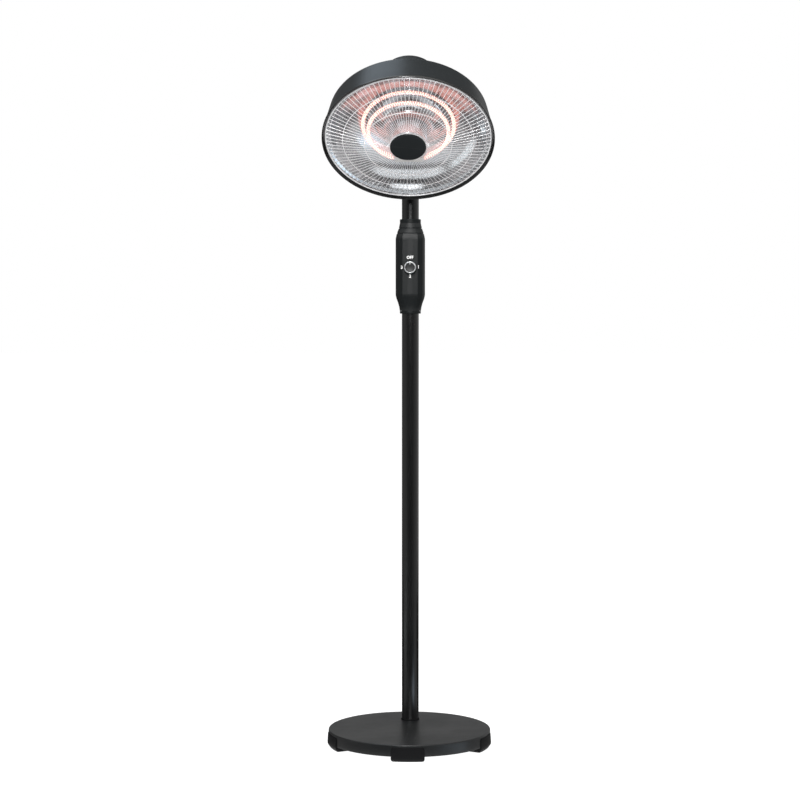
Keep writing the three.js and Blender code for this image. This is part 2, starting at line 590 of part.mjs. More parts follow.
// The filament is one wire wound in a helix round the lamp's centre line: 8 steps of 5 sides a curl.
function filament(name, radius, d, curls) {
  const arc = new LampArc(radius, d, LAMP_HALF_GAP + 1);
  const steps = curls * 8;
  const spine = Array.from({ length: steps + 1 }, (_, i) => {
    const centre = arc.getPoint(i / steps);
    const out = new THREE.Vector3(centre.x, centre.y, 0).normalize();
    const turn = (i / 8) * 2 * Math.PI;
    return centre.addScaledVector(out, FILAMENT_COIL_R * Math.cos(turn))
      .add(new THREE.Vector3(0, 0, FILAMENT_COIL_R * Math.sin(turn)));
  });
  let least = Infinity;
  spine.forEach((p, i) => {
    for (let j = i + 6; j < spine.length; j++) least = Math.min(least, p.distanceTo(spine[j]));
  });
  console.log(`${name}: ${curls} curls, least gap to itself ${(least - 2 * FILAMENT_WIRE_R).toFixed(2)} mm`);
  return loft(spine.map((p, i) => {
    const along = spine[Math.min(i + 1, steps)].clone().sub(spine[Math.max(i - 1, 0)]).normalize();
    const side = new THREE.Vector3(0, 0, 1).cross(p.clone().setZ(0)).normalize();
    const u = side.clone().addScaledVector(along, -side.dot(along));
    if (u.length() < 0.2) u.set(0, 0, 1).addScaledVector(along, -along.z);
    u.normalize();
    const v = along.clone().cross(u);
    return Array.from({ length: 5 }, (_, k) => {
      const a = (k * 2 * Math.PI) / 5;
      return p.clone().addScaledVector(u, FILAMENT_WIRE_R * Math.cos(a)).addScaledVector(v, FILAMENT_WIRE_R * Math.sin(a));
    });
  }));
}

// A ceramic base closes each ring lamp at the hinge's side and stands on the dish.
function lampBase(radius, d) {
  const halfArc = (radius - LAMP_TUBE_R) * Math.sin(deg(LAMP_HALF_GAP)) - GAP;
  const seat = radius * Math.cos(deg(LAMP_HALF_GAP));
  return join(
    slab(roundedRect(2 * halfArc, LAMP_BLOCK, 3), LAMP_BLOCK).rotateX(Math.PI / 2).translate(0, seat, d),
    rod(4.5, d, dishDepthAt(seat) - 1.5, 12).translate(0, seat, 0),
  );
}

const dishDepthAt = (r) => {
  const i = dishFront.findIndex(([pr]) => pr <= r);
  const [[r1, d1], [r2, d2]] = [dishFront[i - 1], dishFront[i]];
  return THREE.MathUtils.mapLinear(r, r1, r2, d1, d2);
};

for (const [name, radius, d, curls] of [
  ['outer', LAMP_OUTER_R, LAMP_OUTER_D, OUTER_CURLS],
  ['inner', LAMP_INNER_R, LAMP_INNER_D, INNER_CURLS],
]) {
  head.add(piece(`lamp_tube_${name}`, lampTube(radius, d), QUARTZ));
  head.add(piece(`filament_${name}`, filament(`filament_${name}`, radius, d, curls), GLOWING));
  head.add(piece(`lamp_base_${name}`, lampBase(radius, d), CERAMIC));
}

// Steel clips stand on the dish and hold both tubes. Their outline is drawn in radius and depth.
const CLIP_HOLE = LAMP_TUBE_R + 0.9;
const clipShape = new THREE.Shape();
clipShape.moveTo(101, dishDepthAt(101) - 0.6);
clipShape.lineTo(108.5, dishDepthAt(108.5) - 0.6);
clipShape.lineTo(108.5, LAMP_OUTER_D + 9);
clipShape.absarc(LAMP_OUTER_R, LAMP_OUTER_D, CLIP_HOLE + 2, deg(100), deg(15), true);
clipShape.lineTo(LAMP_OUTER_R + CLIP_HOLE, LAMP_OUTER_D);
clipShape.absarc(LAMP_OUTER_R, LAMP_OUTER_D, CLIP_HOLE, 0, Math.PI);
clipShape.lineTo(LAMP_OUTER_R - CLIP_HOLE, LAMP_OUTER_D - 4);
clipShape.lineTo(LAMP_INNER_R + CLIP_HOLE, LAMP_INNER_D + 8);
clipShape.lineTo(LAMP_INNER_R + CLIP_HOLE, LAMP_INNER_D);
clipShape.absarc(LAMP_INNER_R, LAMP_INNER_D, CLIP_HOLE, 0, Math.PI);
clipShape.lineTo(LAMP_INNER_R - CLIP_HOLE - 1.8, LAMP_INNER_D);
clipShape.lineTo(LAMP_INNER_R - CLIP_HOLE - 1.8, LAMP_INNER_D + 6);
clipShape.lineTo(101, LAMP_INNER_D + 13);
CLIP_ANGLES.forEach((angle, i) => {
  const clip = piece(`lamp_clip_${i + 1}`, slab(clipShape, 2.4, 4).rotateX(Math.PI / 2), SHEET_STEEL);
  clip.rotation.z = deg(angle - 90);
  head.add(clip);
});

// ---------------------------------------------------------------- wire guard

const guardD = (r) => GUARD_CROWN_D + (GUARD_RIM_D - GUARD_CROWN_D) * (r / GUARD_R) ** 2;

// Radial wires and rings as one lattice. Every crossing is a small block of 8 corners, and each
// wire between two crossings is a four-sided bar.
function guardLattice() {
  const radii = [...GUARD_RINGS, GUARD_R];
  const bandHalf = radii.map((r, k) => (k === radii.length - 1 ? 1.4 : 1.1));
  const positions = [];
  const corner = (i, k, side, edge, face) => {
    const r = radii[k] + edge * bandHalf[k];
    const angle = (i * 2 * Math.PI) / GUARD_WIRES;
    const across = (side * GUARD_WIRE) / 2;
    positions.push(
      r * Math.cos(angle) - across * Math.sin(angle),
      r * Math.sin(angle) + across * Math.cos(angle),
      guardD(r) + (face * GUARD_WIRE) / 2,
    );
  };
  for (let i = 0; i < GUARD_WIRES; i++) {
    for (let k = 0; k < radii.length; k++) {
      for (const face of [-1, 1]) for (const edge of [-1, 1]) for (const side of [-1, 1]) corner(i, k, side, edge, face);
    }
  }
  const id = (i, k, side, edge, face) =>
    ((i % GUARD_WIRES) * radii.length + k) * 8 + (face + 1) * 2 + (edge + 1) + (side + 1) / 2;
  const index = [];
  const quad = (a, b, c, d) => index.push(a, b, c, a, c, d);
  for (let i = 0; i < GUARD_WIRES; i++) {
    for (let k = 0; k < radii.length; k++) {
      // front and back of the crossing
      quad(id(i, k, -1, -1, 1), id(i, k, -1, 1, 1), id(i, k, 1, 1, 1), id(i, k, 1, -1, 1));
      quad(id(i, k, -1, -1, -1), id(i, k, 1, -1, -1), id(i, k, 1, 1, -1), id(i, k, -1, 1, -1));
      // ring bar to the next wire
      const j = i + 1;
      quad(id(i, k, 1, -1, 1), id(i, k, 1, 1, 1), id(j, k, -1, 1, 1), id(j, k, -1, -1, 1));
      quad(id(i, k, 1, -1, -1), id(j, k, -1, -1, -1), id(j, k, -1, 1, -1), id(i, k, 1, 1, -1));
      quad(id(i, k, 1, 1, 1), id(i, k, 1, 1, -1), id(j, k, -1, 1, -1), id(j, k, -1, 1, 1));
      quad(id(i, k, 1, -1, 1), id(j, k, -1, -1, 1), id(j, k, -1, -1, -1), id(i, k, 1, -1, -1));
      // radial bar to the next ring, or the wire's end face
      if (k < radii.length - 1) {
        const m = k + 1;
        quad(id(i, k, -1, 1, 1), id(i, m, -1, -1, 1), id(i, m, 1, -1, 1), id(i, k, 1, 1, 1));
        quad(id(i, k, -1, 1, -1), id(i, k, 1, 1, -1), id(i, m, 1, -1, -1), id(i, m, -1, -1, -1));
        quad(id(i, k, 1, 1, 1), id(i, m, 1, -1, 1), id(i, m, 1, -1, -1), id(i, k, 1, 1, -1));
        quad(id(i, k, -1, 1, 1), id(i, k, -1, 1, -1), id(i, m, -1, -1, -1), id(i, m, -1, -1, 1));
      } else {
        quad(id(i, k, -1, 1, 1), id(i, k, -1, 1, -1), id(i, k, 1, 1, -1), id(i, k, 1, 1, 1));
      }
      if (k === 0) quad(id(i, k, -1, -1, 1), id(i, k, 1, -1, 1), id(i, k, 1, -1, -1), id(i, k, -1, -1, -1));
    }
  }
  const geometry = new THREE.BufferGeometry();
  geometry.setAttribute('position', new THREE.Float32BufferAttribute(positions, 3));
  geometry.setIndex(index);
  return geometry;
}
head.add(piece('guard_grille', guardLattice(), CHROME));

const capBack = guardD(GUARD_CAP_R) - GUARD_WIRE / 2 - GAP - 0.1;
head.add(piece('guard_cap', turned([
  [0, capBack - 3.6], [GUARD_CAP_R - 2.4, capBack - 3], [GUARD_CAP_R, capBack - 1.4],
  [GUARD_CAP_R, capBack], [0, capBack],
], SIDES_MEDIUM), BLACK_COAT));

// ---------------------------------------------------------------- inside the neck

head.add(piece('thermal_cutout', join(
  rod(9, 81.2, 92).translate(0, 52, 0),
  block(6, 1, 8, 0, 49, 95),
  block(6, 1, 8, 0, 55, 95),
), CERAMIC));
head.add(piece('head_terminal_block', cut(
  block(44, 16, 16, 0, -51, NECK_BOTTOM_D + 1.5 + GAP + 8),
  ...[-15, -5, 5, 15].map((x) => rod(2.4, NECK_BOTTOM_D + 10, 150, 8).translate(x, -51, 0)),
), CERAMIC));

// ---------------------------------------------------------------- place the whole heater

heater.updateMatrixWorld(true);
const bounds = new THREE.Box3().setFromObject(heater, true);
stand.position.y = -(bounds.min.y + bounds.max.y) / 2;
console.log(`pole axis at y = ${stand.position.y.toFixed(3)} mm, height ${(bounds.max.z - bounds.min.z).toFixed(1)} mm`);

export default heater;
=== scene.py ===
# Free-standing infrared patio heater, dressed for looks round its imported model.
# Sizes are in millimetres in each piece's own drawing, and become metres as it is placed.

import math

import bmesh
import bpy
import numpy as np
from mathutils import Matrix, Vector


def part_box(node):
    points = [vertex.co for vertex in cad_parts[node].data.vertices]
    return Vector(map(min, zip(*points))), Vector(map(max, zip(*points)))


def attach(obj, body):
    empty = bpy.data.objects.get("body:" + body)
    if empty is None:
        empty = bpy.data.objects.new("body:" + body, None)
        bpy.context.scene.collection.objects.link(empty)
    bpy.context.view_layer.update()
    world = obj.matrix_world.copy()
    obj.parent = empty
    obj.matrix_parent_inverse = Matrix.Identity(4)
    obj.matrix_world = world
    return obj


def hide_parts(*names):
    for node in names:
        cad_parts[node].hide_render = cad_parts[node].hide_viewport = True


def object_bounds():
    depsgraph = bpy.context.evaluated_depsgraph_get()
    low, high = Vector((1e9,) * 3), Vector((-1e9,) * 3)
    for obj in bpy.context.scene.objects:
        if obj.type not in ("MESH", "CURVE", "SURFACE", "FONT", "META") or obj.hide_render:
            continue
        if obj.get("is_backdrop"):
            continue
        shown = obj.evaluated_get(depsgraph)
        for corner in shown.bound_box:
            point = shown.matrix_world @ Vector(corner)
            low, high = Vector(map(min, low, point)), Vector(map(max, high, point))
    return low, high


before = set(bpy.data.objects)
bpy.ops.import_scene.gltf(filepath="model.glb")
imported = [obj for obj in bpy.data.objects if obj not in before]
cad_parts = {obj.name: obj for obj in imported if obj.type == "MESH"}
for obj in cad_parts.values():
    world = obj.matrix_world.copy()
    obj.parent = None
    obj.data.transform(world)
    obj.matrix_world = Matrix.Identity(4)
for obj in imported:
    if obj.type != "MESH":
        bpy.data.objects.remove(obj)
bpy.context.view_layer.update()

# ------------------------------------------------------------------ foot: steel cover
# A round cover pressed from 1.6 mm steel hides the concrete weight. Its top edge is rolled over
# a small radius, the skirt leans out a little, and it has a matt black powder coat.

pole_low, pole_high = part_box("lower_pole")
POLE_AXIS = np.array([(pole_low.x + pole_high.x) / 2, (pole_low.y + pole_high.y) / 2, 0.0]) * 1000
FOOT_FORWARD = 107.0  # from the pole's axis to the cover's axis
COVER_TOP, COVER_LOW, COVER_WALL = 42.6, 13.5, 1.6
COVER_R, SKIRT_R, POLE_HOLE_R = 207.0, 208.8, 22.4
TOP_CORNER_R = COVER_R + 0.3
TOP_RINGS = [23.6, 28, 60, 110, 160, 196, 200.5]  # radii of the rings between the hole and the edge
COVER_SIDES = 192
CREASE = 32  # degrees between two faces, past which the edge between them stays sharp
WELD, SLIVER = 2e-6, 1e-6  # metres


def on_stand(points):
    """Millimetres from the pole's axis on the ground, to metres in the object's frame."""
    return (np.asarray(points, float) + POLE_AXIS) / 1000


def eased(corners, ease, steps=5):
    """A closed outline with soft corners. Each corner turns into the parabola that leaves one
    side and joins the next at the distance ease from it, or at 0.45 of a shorter side."""
    corners = np.asarray(corners, float)
    back, on = np.roll(corners, 1, 0) - corners, np.roll(corners, -1, 0) - corners
    back_length, on_length = np.linalg.norm(back, axis=1), np.linalg.norm(on, axis=1)
    reach = np.minimum(np.broadcast_to(ease, len(corners)), 0.45 * np.minimum(back_length, on_length))
    start = corners + back * (reach / back_length)[:, None]
    end = corners + on * (reach / on_length)[:, None]
    t = np.linspace(0, 1, steps + 1)[None, :, None]
    curve = (1 - t) ** 2 * start[:, None] + 2 * t * (1 - t) * corners[:, None] + t**2 * end[:, None]
    return curve.reshape(-1, 2)


def round_angles(count):
    """That many evenly spaced angles, once round."""
    return np.arange(count) * 2 * np.pi / count


def grid_faces(rows, columns, close_rows=True, close_columns=True):
    """Four-sided faces between neighbours of a grid of points that is numbered row by row."""
    i = np.arange(rows if close_rows else rows - 1)[:, None]
    j = np.arange(columns if close_columns else columns - 1)[None, :]
    i2, j2 = (i + 1) % rows, (j + 1) % columns
    corners = [i * columns + j, i * columns + j2, i2 * columns + j2, i2 * columns + j]
    return np.stack(corners, -1).reshape(-1, 4)


def piece(name, shape, place, material, body, stands_for=(), crease=CREASE):
    """Puts a shape into a mesh of that name, closes its seams and poles, turns its faces outwards,
    and lets it ride on a body."""
    points, faces = place(shape[0]), shape[1]
    faces = faces.tolist() if isinstance(faces, np.ndarray) else faces
    mesh = bpy.data.meshes.new(name)
    mesh.from_pydata(points.tolist(), [], faces)
    if len(shape) > 2:
        grain = mesh.attributes.new("grain", "FLOAT_VECTOR", "POINT")
        grain.data.foreach_set("vector", (np.asarray(shape[2]) / 1000).ravel())
    made = bmesh.new()
    made.from_mesh(mesh)
    bmesh.ops.remove_doubles(made, verts=made.verts, dist=WELD)
    bmesh.ops.dissolve_degenerate(made, edges=made.edges, dist=SLIVER)
    bmesh.ops.recalc_face_normals(made, faces=made.faces)
    made.to_mesh(mesh)
    made.free()
    mesh.materials.append(material)
    mesh.shade_smooth()
    mesh.set_sharp_from_angle(angle=math.radians(crease))
    thing = bpy.data.objects.new(name, mesh)
    bpy.context.scene.collection.objects.link(thing)
    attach(thing, body)
    if stands_for:
        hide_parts(*([stands_for] if isinstance(stands_for, str) else stands_for))
    return thing


def finish_nodes(name, colour, roughness, metallic=0.0):
    """A material with one shader: the material, a maker of links, the shader, and a maker of
    further nodes, which sets a node's own values or its inputs by name."""
    material = bpy.data.materials.new(name)
    material.use_nodes = True
    tree = material.node_tree
    shader = tree.nodes["Principled BSDF"]
    shader.inputs["Base Color"].default_value = (*colour, 1)
    shader.inputs["Roughness"].default_value = roughness
    shader.inputs["Metallic"].default_value = metallic

    def node(kind, **settings):
        new = tree.nodes.new("ShaderNode" + kind)
        for key, value in settings.items():
            if hasattr(new, key):
                setattr(new, key, value)
            else:
                new.inputs[key.replace("_", " ")].default_value = value
        return new

    return material, tree.links.new, shader, node


def coat(name, colour, roughness, pebble=0.7, relief=0.012, drift=0.05, worn=0.0, metallic=0.0,
         tone=0.12, sheen=0.5):
    """A sprayed or moulded surface: fine pebbles of that size and relief in millimetres, a slow
    drift of gloss, a finer change of tone, and lighter, rubbed corners where it is worn."""
    material, link, shader, node = finish_nodes(name, colour, roughness, metallic)
    shader.inputs["Specular IOR Level"].default_value = sheen
    where = node("TexCoord").outputs["Object"]
    fine = node("TexNoise", Scale=1000 / pebble, Detail=3.0, Roughness=0.55)
    slow = node("TexNoise", Scale=7.0, Detail=4.0, Roughness=0.6)
    peel = node("TexNoise", Scale=170.0, Detail=1.0)
    for texture in (fine, slow, peel):
        link(where, texture.inputs["Vector"])
    gloss = node("MapRange", From_Min=0.3, From_Max=0.7, To_Min=roughness - drift, To_Max=roughness + drift)
    link(slow.outputs["Fac"], gloss.inputs["Value"])
    link(gloss.outputs["Result"], shader.inputs["Roughness"])
    tones = node("Mix", data_type="RGBA")
    tones.inputs["A"].default_value = (*[c * (1 - tone) for c in colour], 1)
    tones.inputs["B"].default_value = (*[c * (1 + tone) for c in colour], 1)
    link(fine.outputs["Fac"], tones.inputs["Factor"])
    link(tones.outputs["Result"], shader.inputs["Base Color"])
    if worn:
        edge = node("NewGeometry").outputs["Pointiness"]
        rubbed = node("MapRange", From_Min=0.515, From_Max=0.57, To_Min=0.0, To_Max=worn)
        patchy = node("Math", operation="MULTIPLY")
        link(edge, rubbed.inputs["Value"])
        link(rubbed.outputs["Result"], patchy.inputs[0])
        link(slow.outputs["Fac"], patchy.inputs[1])
        lighter = node("Mix", data_type="RGBA")
        lighter.inputs["B"].default_value = (*[0.5 * c + 0.11 for c in colour], 1)
        link(patchy.outputs["Value"], lighter.inputs["Factor"])
        link(tones.outputs["Result"], lighter.inputs["A"])
        link(lighter.outputs["Result"], shader.inputs["Base Color"])
    wavy = node("Bump", Strength=0.35, Distance=relief * 1e-3)
    rough = node("Bump", Strength=1.0, Distance=relief * 1e-3)
    link(peel.outputs["Fac"], wavy.inputs["Height"])
    link(fine.outputs["Fac"], rough.inputs["Height"])
    link(wavy.outputs["Normal"], rough.inputs["Normal"])
    link(rough.outputs["Normal"], shader.inputs["Normal"])
    return material


matt_black = coat("matt_black_powder", (0.0068, 0.0074, 0.0078), 0.35,
                  pebble=0.9, relief=0.014, worn=0.3, sheen=0.55)
cover_outline = eased(
    [
        (POLE_HOLE_R, COVER_TOP), *[(radius, COVER_TOP) for radius in TOP_RINGS],
        (TOP_CORNER_R, COVER_TOP), (SKIRT_R, COVER_LOW), (SKIRT_R - COVER_WALL, COVER_LOW),
        (COVER_R - 1.5, COVER_TOP - COVER_WALL), (POLE_HOLE_R, COVER_TOP - COVER_WALL),
    ],
    [0.3, *[0] * len(TOP_RINGS), 3.0, 0.4, 0.4, 2.2, 0.3],
    steps=8,
)


def cover_shape():
    """The top is a sheet with a round hole for the pole away from its middle. Its rings slide
    from circles about the cover's centre to circles about the pole as they near the hole."""
    radius, height = cover_outline[:, :1], cover_outline[:, 1:]
    a = round_angles(COVER_SIDES)
    slide_from = COVER_R - 6
    shift = FOOT_FORWARD * np.clip((slide_from - radius) / (slide_from - POLE_HOLE_R), 0, 1)
    points = np.stack([radius * np.cos(a), radius * np.sin(a) + shift - FOOT_FORWARD, height + 0 * a], -1)
    return points.reshape(-1, 3), grid_faces(len(cover_outline), COVER_SIDES)


piece("foot_cover", cover_shape(), on_stand, matt_black, "stand", "base_cover")

# ------------------------------------------------------------------ foot: weight, plate and bolt
# Inside are a cast concrete disc and a thin steel plate under it. One bolt from below pulls the
# pole's plug down on to the weight. They are left as the solid model has them, with real finishes.

concrete = coat("cast_concrete", (0.30, 0.28, 0.25), 0.92, pebble=3.0, relief=0.35, drift=0.05, tone=0.35)
zinc = coat("zinc_plate", (0.46, 0.47, 0.48), 0.32,
            pebble=2.4, relief=0.01, drift=0.08, metallic=0.9, tone=0.18)
sheet_steel = coat("sheet_steel", (0.34, 0.35, 0.36), 0.42,
                   pebble=5.0, relief=0.01, drift=0.1, metallic=0.9)


def dress(material, *names):
    """Gives nodes of the solid model a better finish, and leaves their shape alone."""
    for name in names:
        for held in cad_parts[name].material_slots:
            held.material = material


dress(concrete, "base_weight")
dress(sheet_steel, "base_plate")
dress(zinc, "pole_plug", "pole_washer", "pole_bolt", "pole_sleeve")

# ------------------------------------------------------------------ foot: rubber pads
# Five wide pads of black rubber clip over the lower edge of the skirt. Each is moulded in one
# with a thin lip outside, and has rounded corners and a flat sole.

rubber = coat("black_rubber", (0.0035, 0.0036, 0.0040), 0.58,
              pebble=1.2, relief=0.02, drift=0.05, sheen=0.15)
PAD_WIDTH, PAD_LIP, PAD_TOP, PAD_GAP = 84.0, 1.9, 36.6, 0.3
PAD_INSIDE_R, PAD_FLOOR = 170.0, 13.2
PAD_END, PAD_SOLE = 5.0, 6.0  # how far from its ends and from the ground the pad grows rounder
PAD_NAMES = ["front", "front_right", "rear_right", "rear_left", "front_left"]


def skirt_radius(z):
    """The cover's outside radius at a height on its straight skirt."""
    return TOP_CORNER_R + (SKIRT_R - TOP_CORNER_R) * (COVER_TOP - z) / (COVER_TOP - COVER_LOW)


def capped_faces(rows, count):
    """The faces of a closed section carried over some rows, with a flat face at each end."""
    sides = grid_faces(rows, count, close_rows=False).tolist()
    return sides + [tuple(range(count)), tuple(range((rows - 1) * count, rows * count))]


pad_section = eased(
    [
        (PAD_INSIDE_R, 0.9), (PAD_INSIDE_R + 1.5, 0), (SKIRT_R - 3.9, 0), (SKIRT_R + 1.8, 8),
        (skirt_radius(COVER_LOW) + PAD_LIP, COVER_LOW), (skirt_radius(PAD_TOP) + PAD_LIP, PAD_TOP),
        (skirt_radius(PAD_TOP) + PAD_GAP, PAD_TOP), (skirt_radius(COVER_LOW) + PAD_GAP, PAD_FLOOR),
        (PAD_INSIDE_R, PAD_FLOOR),
    ],
    [0.3, 0.6, 3, 1.5, 0.3, 1.2, 0.3, 0.2, 0.4],
)


def pad_shape(turn):
    """The pad's section carried round the cover's axis. Towards each end its lip comes down and
    its sole comes up along a quarter circle, so the ends and the lip's corners are round."""
    half = PAD_WIDTH / 2 / SKIRT_R
    t = np.linspace(-1, 1, 49)
    bend = np.sign(t) * (1 - (1 - np.abs(t)) ** 1.8)
    from_end = (1 - np.abs(bend)) * half * SKIRT_R
    near_end = np.clip((PAD_END - from_end) / PAD_END, 0, 1)
    shrink = 1 - np.sqrt(np.clip(1 - near_end**2, 0, 1))
    radius, height = pad_section.T
    drop = np.where(height > COVER_LOW + 0.1, (height - COVER_LOW) * 0.28, 0)
    lift = np.where(height < PAD_SOLE, (PAD_SOLE - height) * 0.55, 0)
    height = height + (lift - drop) * shrink[:, None]
    angle = (turn - np.pi / 2 + bend * half)[:, None]
    points = np.stack([radius * np.cos(angle), radius * np.sin(angle) - FOOT_FORWARD, height], -1)
    return points.reshape(-1, 3), capped_faces(len(t), len(pad_section))


for number, pad_name in enumerate(PAD_NAMES):
    piece(f"rubber_pad_{pad_name}", pad_shape(number * 2 * np.pi / len(PAD_NAMES)), on_stand, rubber,
          "stand", f"foot_{pad_name}")

# ------------------------------------------------------------------ pole: tubes and seal
# Two 44 mm steel tubes with a satin black coat carry the head. The lower one stands through a
# rubber seal in the cover, and a moulded gland low at its back takes the lead.

satin_black = coat("satin_black_coat", (0.0022, 0.0023, 0.0024), 0.21,
                   pebble=1.6, relief=0.004, drift=0.04, sheen=1.0)
POLE_R, POLE_WALL, POLE_SIDES = 22.0, 1.5, 128
LOWER_TUBE, UPPER_TUBE = (26.3, 1158), (1296, 1436)
SLIDING_R = POLE_R + 0.3  # inside radius of what goes round the tubes
SEAL_LOW, SEAL_HIGH = COVER_TOP + 0.3, COVER_TOP + 3.2
GRAIN_R = 20.0


def banded(outline, band=1.2):
    """The same outline with a narrow band at each end of its long sides, so that the shading of
    a soft corner doesn't spread over the flat beside it."""
    outline = np.asarray(outline, float)
    line = []
    for here, there in zip(outline, np.roll(outline, -1, 0)):
        length = np.linalg.norm(there - here)
        line.append(here)
        if length > 6 * band:
            line += [here + (there - here) * band / length, there - (there - here) * band / length]
    return np.array(line)


def round_grid(radius, height, angle):
    """Closed rings of points, one at each height. The radius may also change with the angle."""
    points = np.stack([radius * np.cos(angle), radius * np.sin(angle), height[:, None] + 0 * angle], -1)
    return points.reshape(-1, 3), grid_faces(len(height), len(angle))


def spun(outline, sides):
    """A closed outline of (radius, height) turned once round an upright axis: the point at
    angle a lies at (radius cos a, radius sin a, height). Its grain follows the turning."""
    outline = banded(outline)
    a = round_angles(sides)
    points, faces = round_grid(outline[:, :1], outline[:, 1], a)
    along = np.r_[0, np.cumsum(np.linalg.norm(np.diff(outline, axis=0), axis=1))][:, None]
    grain = np.stack([along + 0 * a, GRAIN_R * np.cos(a) + 0 * along, GRAIN_R * np.sin(a) + 0 * along], -1)
    return points, faces, grain.reshape(-1, 3)


def tube(low, high):
    """A plain tube between two heights, with its ends' corners just broken."""
    inner = POLE_R - POLE_WALL
    return spun(eased([(inner, low), (POLE_R, low), (POLE_R, high), (inner, high)], 0.4, 3), POLE_SIDES)


seal_line = eased(
    [(SLIDING_R, SEAL_LOW), (24.0, SEAL_LOW), (23.9, SEAL_HIGH - 1), (23.2, SEAL_HIGH),
     (SLIDING_R, SEAL_HIGH)],
    0.6, 5)
piece("pole_tube_lower", tube(*LOWER_TUBE), on_stand, satin_black, "stand", "lower_pole")
piece("pole_tube_upper", tube(*UPPER_TUBE), on_stand, satin_black, "stand", "upper_pole")
piece("pole_rubber_ring", spun(seal_line, POLE_SIDES), on_stand, rubber, "stand", "pole_seal")

nylon = coat("black_nylon", (0.024, 0.024, 0.025), 0.5, pebble=0.5, relief=0.01)
GLAND_Z, GLAND_RINGS = 78.0, 5


def pointing_back(height):
    """A way of placing a shape: what is drawn along +Z points along +Y at that height."""

    def place(points):
        x, y, z = np.asarray(points, float).T
        return on_stand(np.stack([x, z, height - y], -1))

    return place


def sixfold(angle):
    """A hexagon's outline, as its distance from the middle over that of its flats."""
    return 1 / np.cos((angle + np.pi / 6) % (np.pi / 3) - np.pi / 6)


def gland_shape():
    """A hexagonal nut, then a sleeve of five soft rings that narrow outwards. Each row is a
    height, a radius, and 1 where the radius is a hexagon's or 0 where it is round."""
    a = round_angles(96)
    t = np.linspace(0, 1, 41)
    shank = [(18.5, 6.0, 0), (22.3, 6.0, 0)]
    nut = [(22.3, 7.0, 1), (22.9, 7.5, 1), (27.4, 7.5, 1), (28.0, 7.0, 1), (28.0, 6.6, 0)]
    sleeve = np.stack([28.1 + 7.5 * t, 6.4 - t + 0.32 * np.cos(2 * np.pi * GLAND_RINGS * t), 0 * t], -1)
    mouth = [(36.2, 5.0, 0), (36.2, 3.4, 0), (18.5, 3.4, 0)]
    z, radius, hexed = np.concatenate([shank, nut, sleeve, mouth]).T
    return round_grid(radius[:, None] * (1 + hexed[:, None] * (np.minimum(sixfold(a), 1.13) - 1)), z, a)


piece("lead_gland", gland_shape(), pointing_back(GLAND_Z), nylon, "stand", "cable_gland")

# ------------------------------------------------------------------ control box: two halves
# Two moulded halves of charcoal plastic close round the pole, parted along a seam at the sides.
# Seen from above the box has twelve sides. It narrows to the round collars over stepped bands.

charcoal = coat("charcoal_plastic", (0.0034, 0.0048, 0.0052), 0.46,
                pebble=0.55, relief=0.008, drift=0.03, worn=0.15, sheen=0.36)
BOX_HALF_WIDTH, BOX_WALL, BOX_SEAM, COLLAR_R = 37.9, 2.2, 0.3, 27.2
BOX_CORNERS = np.array([(20.6, -35.5), (32.5, -26.5), (BOX_HALF_WIDTH, -13),
                        (BOX_HALF_WIDTH, 13), (32.5, 26.5), (20.6, 35.5)])
BOX_STEPS = [(1312.3, 35.0), (1325.8, 30.3)]  # height and half width
KNOB_Z, SHAFT_HOLE_R = 1224.0, 4.4
BOSS_R, BOSS_BACK = 4.6, 30.5
SCREW_X, SCREW_LOW, SCREW_HIGH = 28.6, 1172.0, 1282.0
SCREW_SPOTS = [("lower_left", -SCREW_X, SCREW_LOW), ("lower_right", SCREW_X, SCREW_LOW),
               ("upper_left", -SCREW_X, SCREW_HIGH), ("upper_right", SCREW_X, SCREW_HIGH)]

box_outline = eased(np.concatenate([BOX_CORNERS, BOX_CORNERS[::-1] * [-1, 1]]), 2.2, 4)
facing = pointing_back(KNOB_Z)


def box_levels():
    """Heights and half widths up the box, with a narrow groove round it at each step."""
    levels = [(1112.3, 27.4), (1123, 29.1), (1133.5, 32.1), (1144, 36), (1151, 37.5), (1154, BOX_HALF_WIDTH),
              (1158, BOX_HALF_WIDTH), (1294, BOX_HALF_WIDTH), (1298.5, 37.8), (1302, 37.3), (1311, 35.4),
              (1318, 32.9), (1332, 28.6), (1338.7, COLLAR_R)]
    for z, width in BOX_STEPS:
        levels += [(z - 1.2, width + 0.15), (z - 0.8, width - 1.5)]
        levels += [(z + 0.8, width - 1.5), (z + 1.2, width - 0.6)]
    return np.array(sorted(levels))


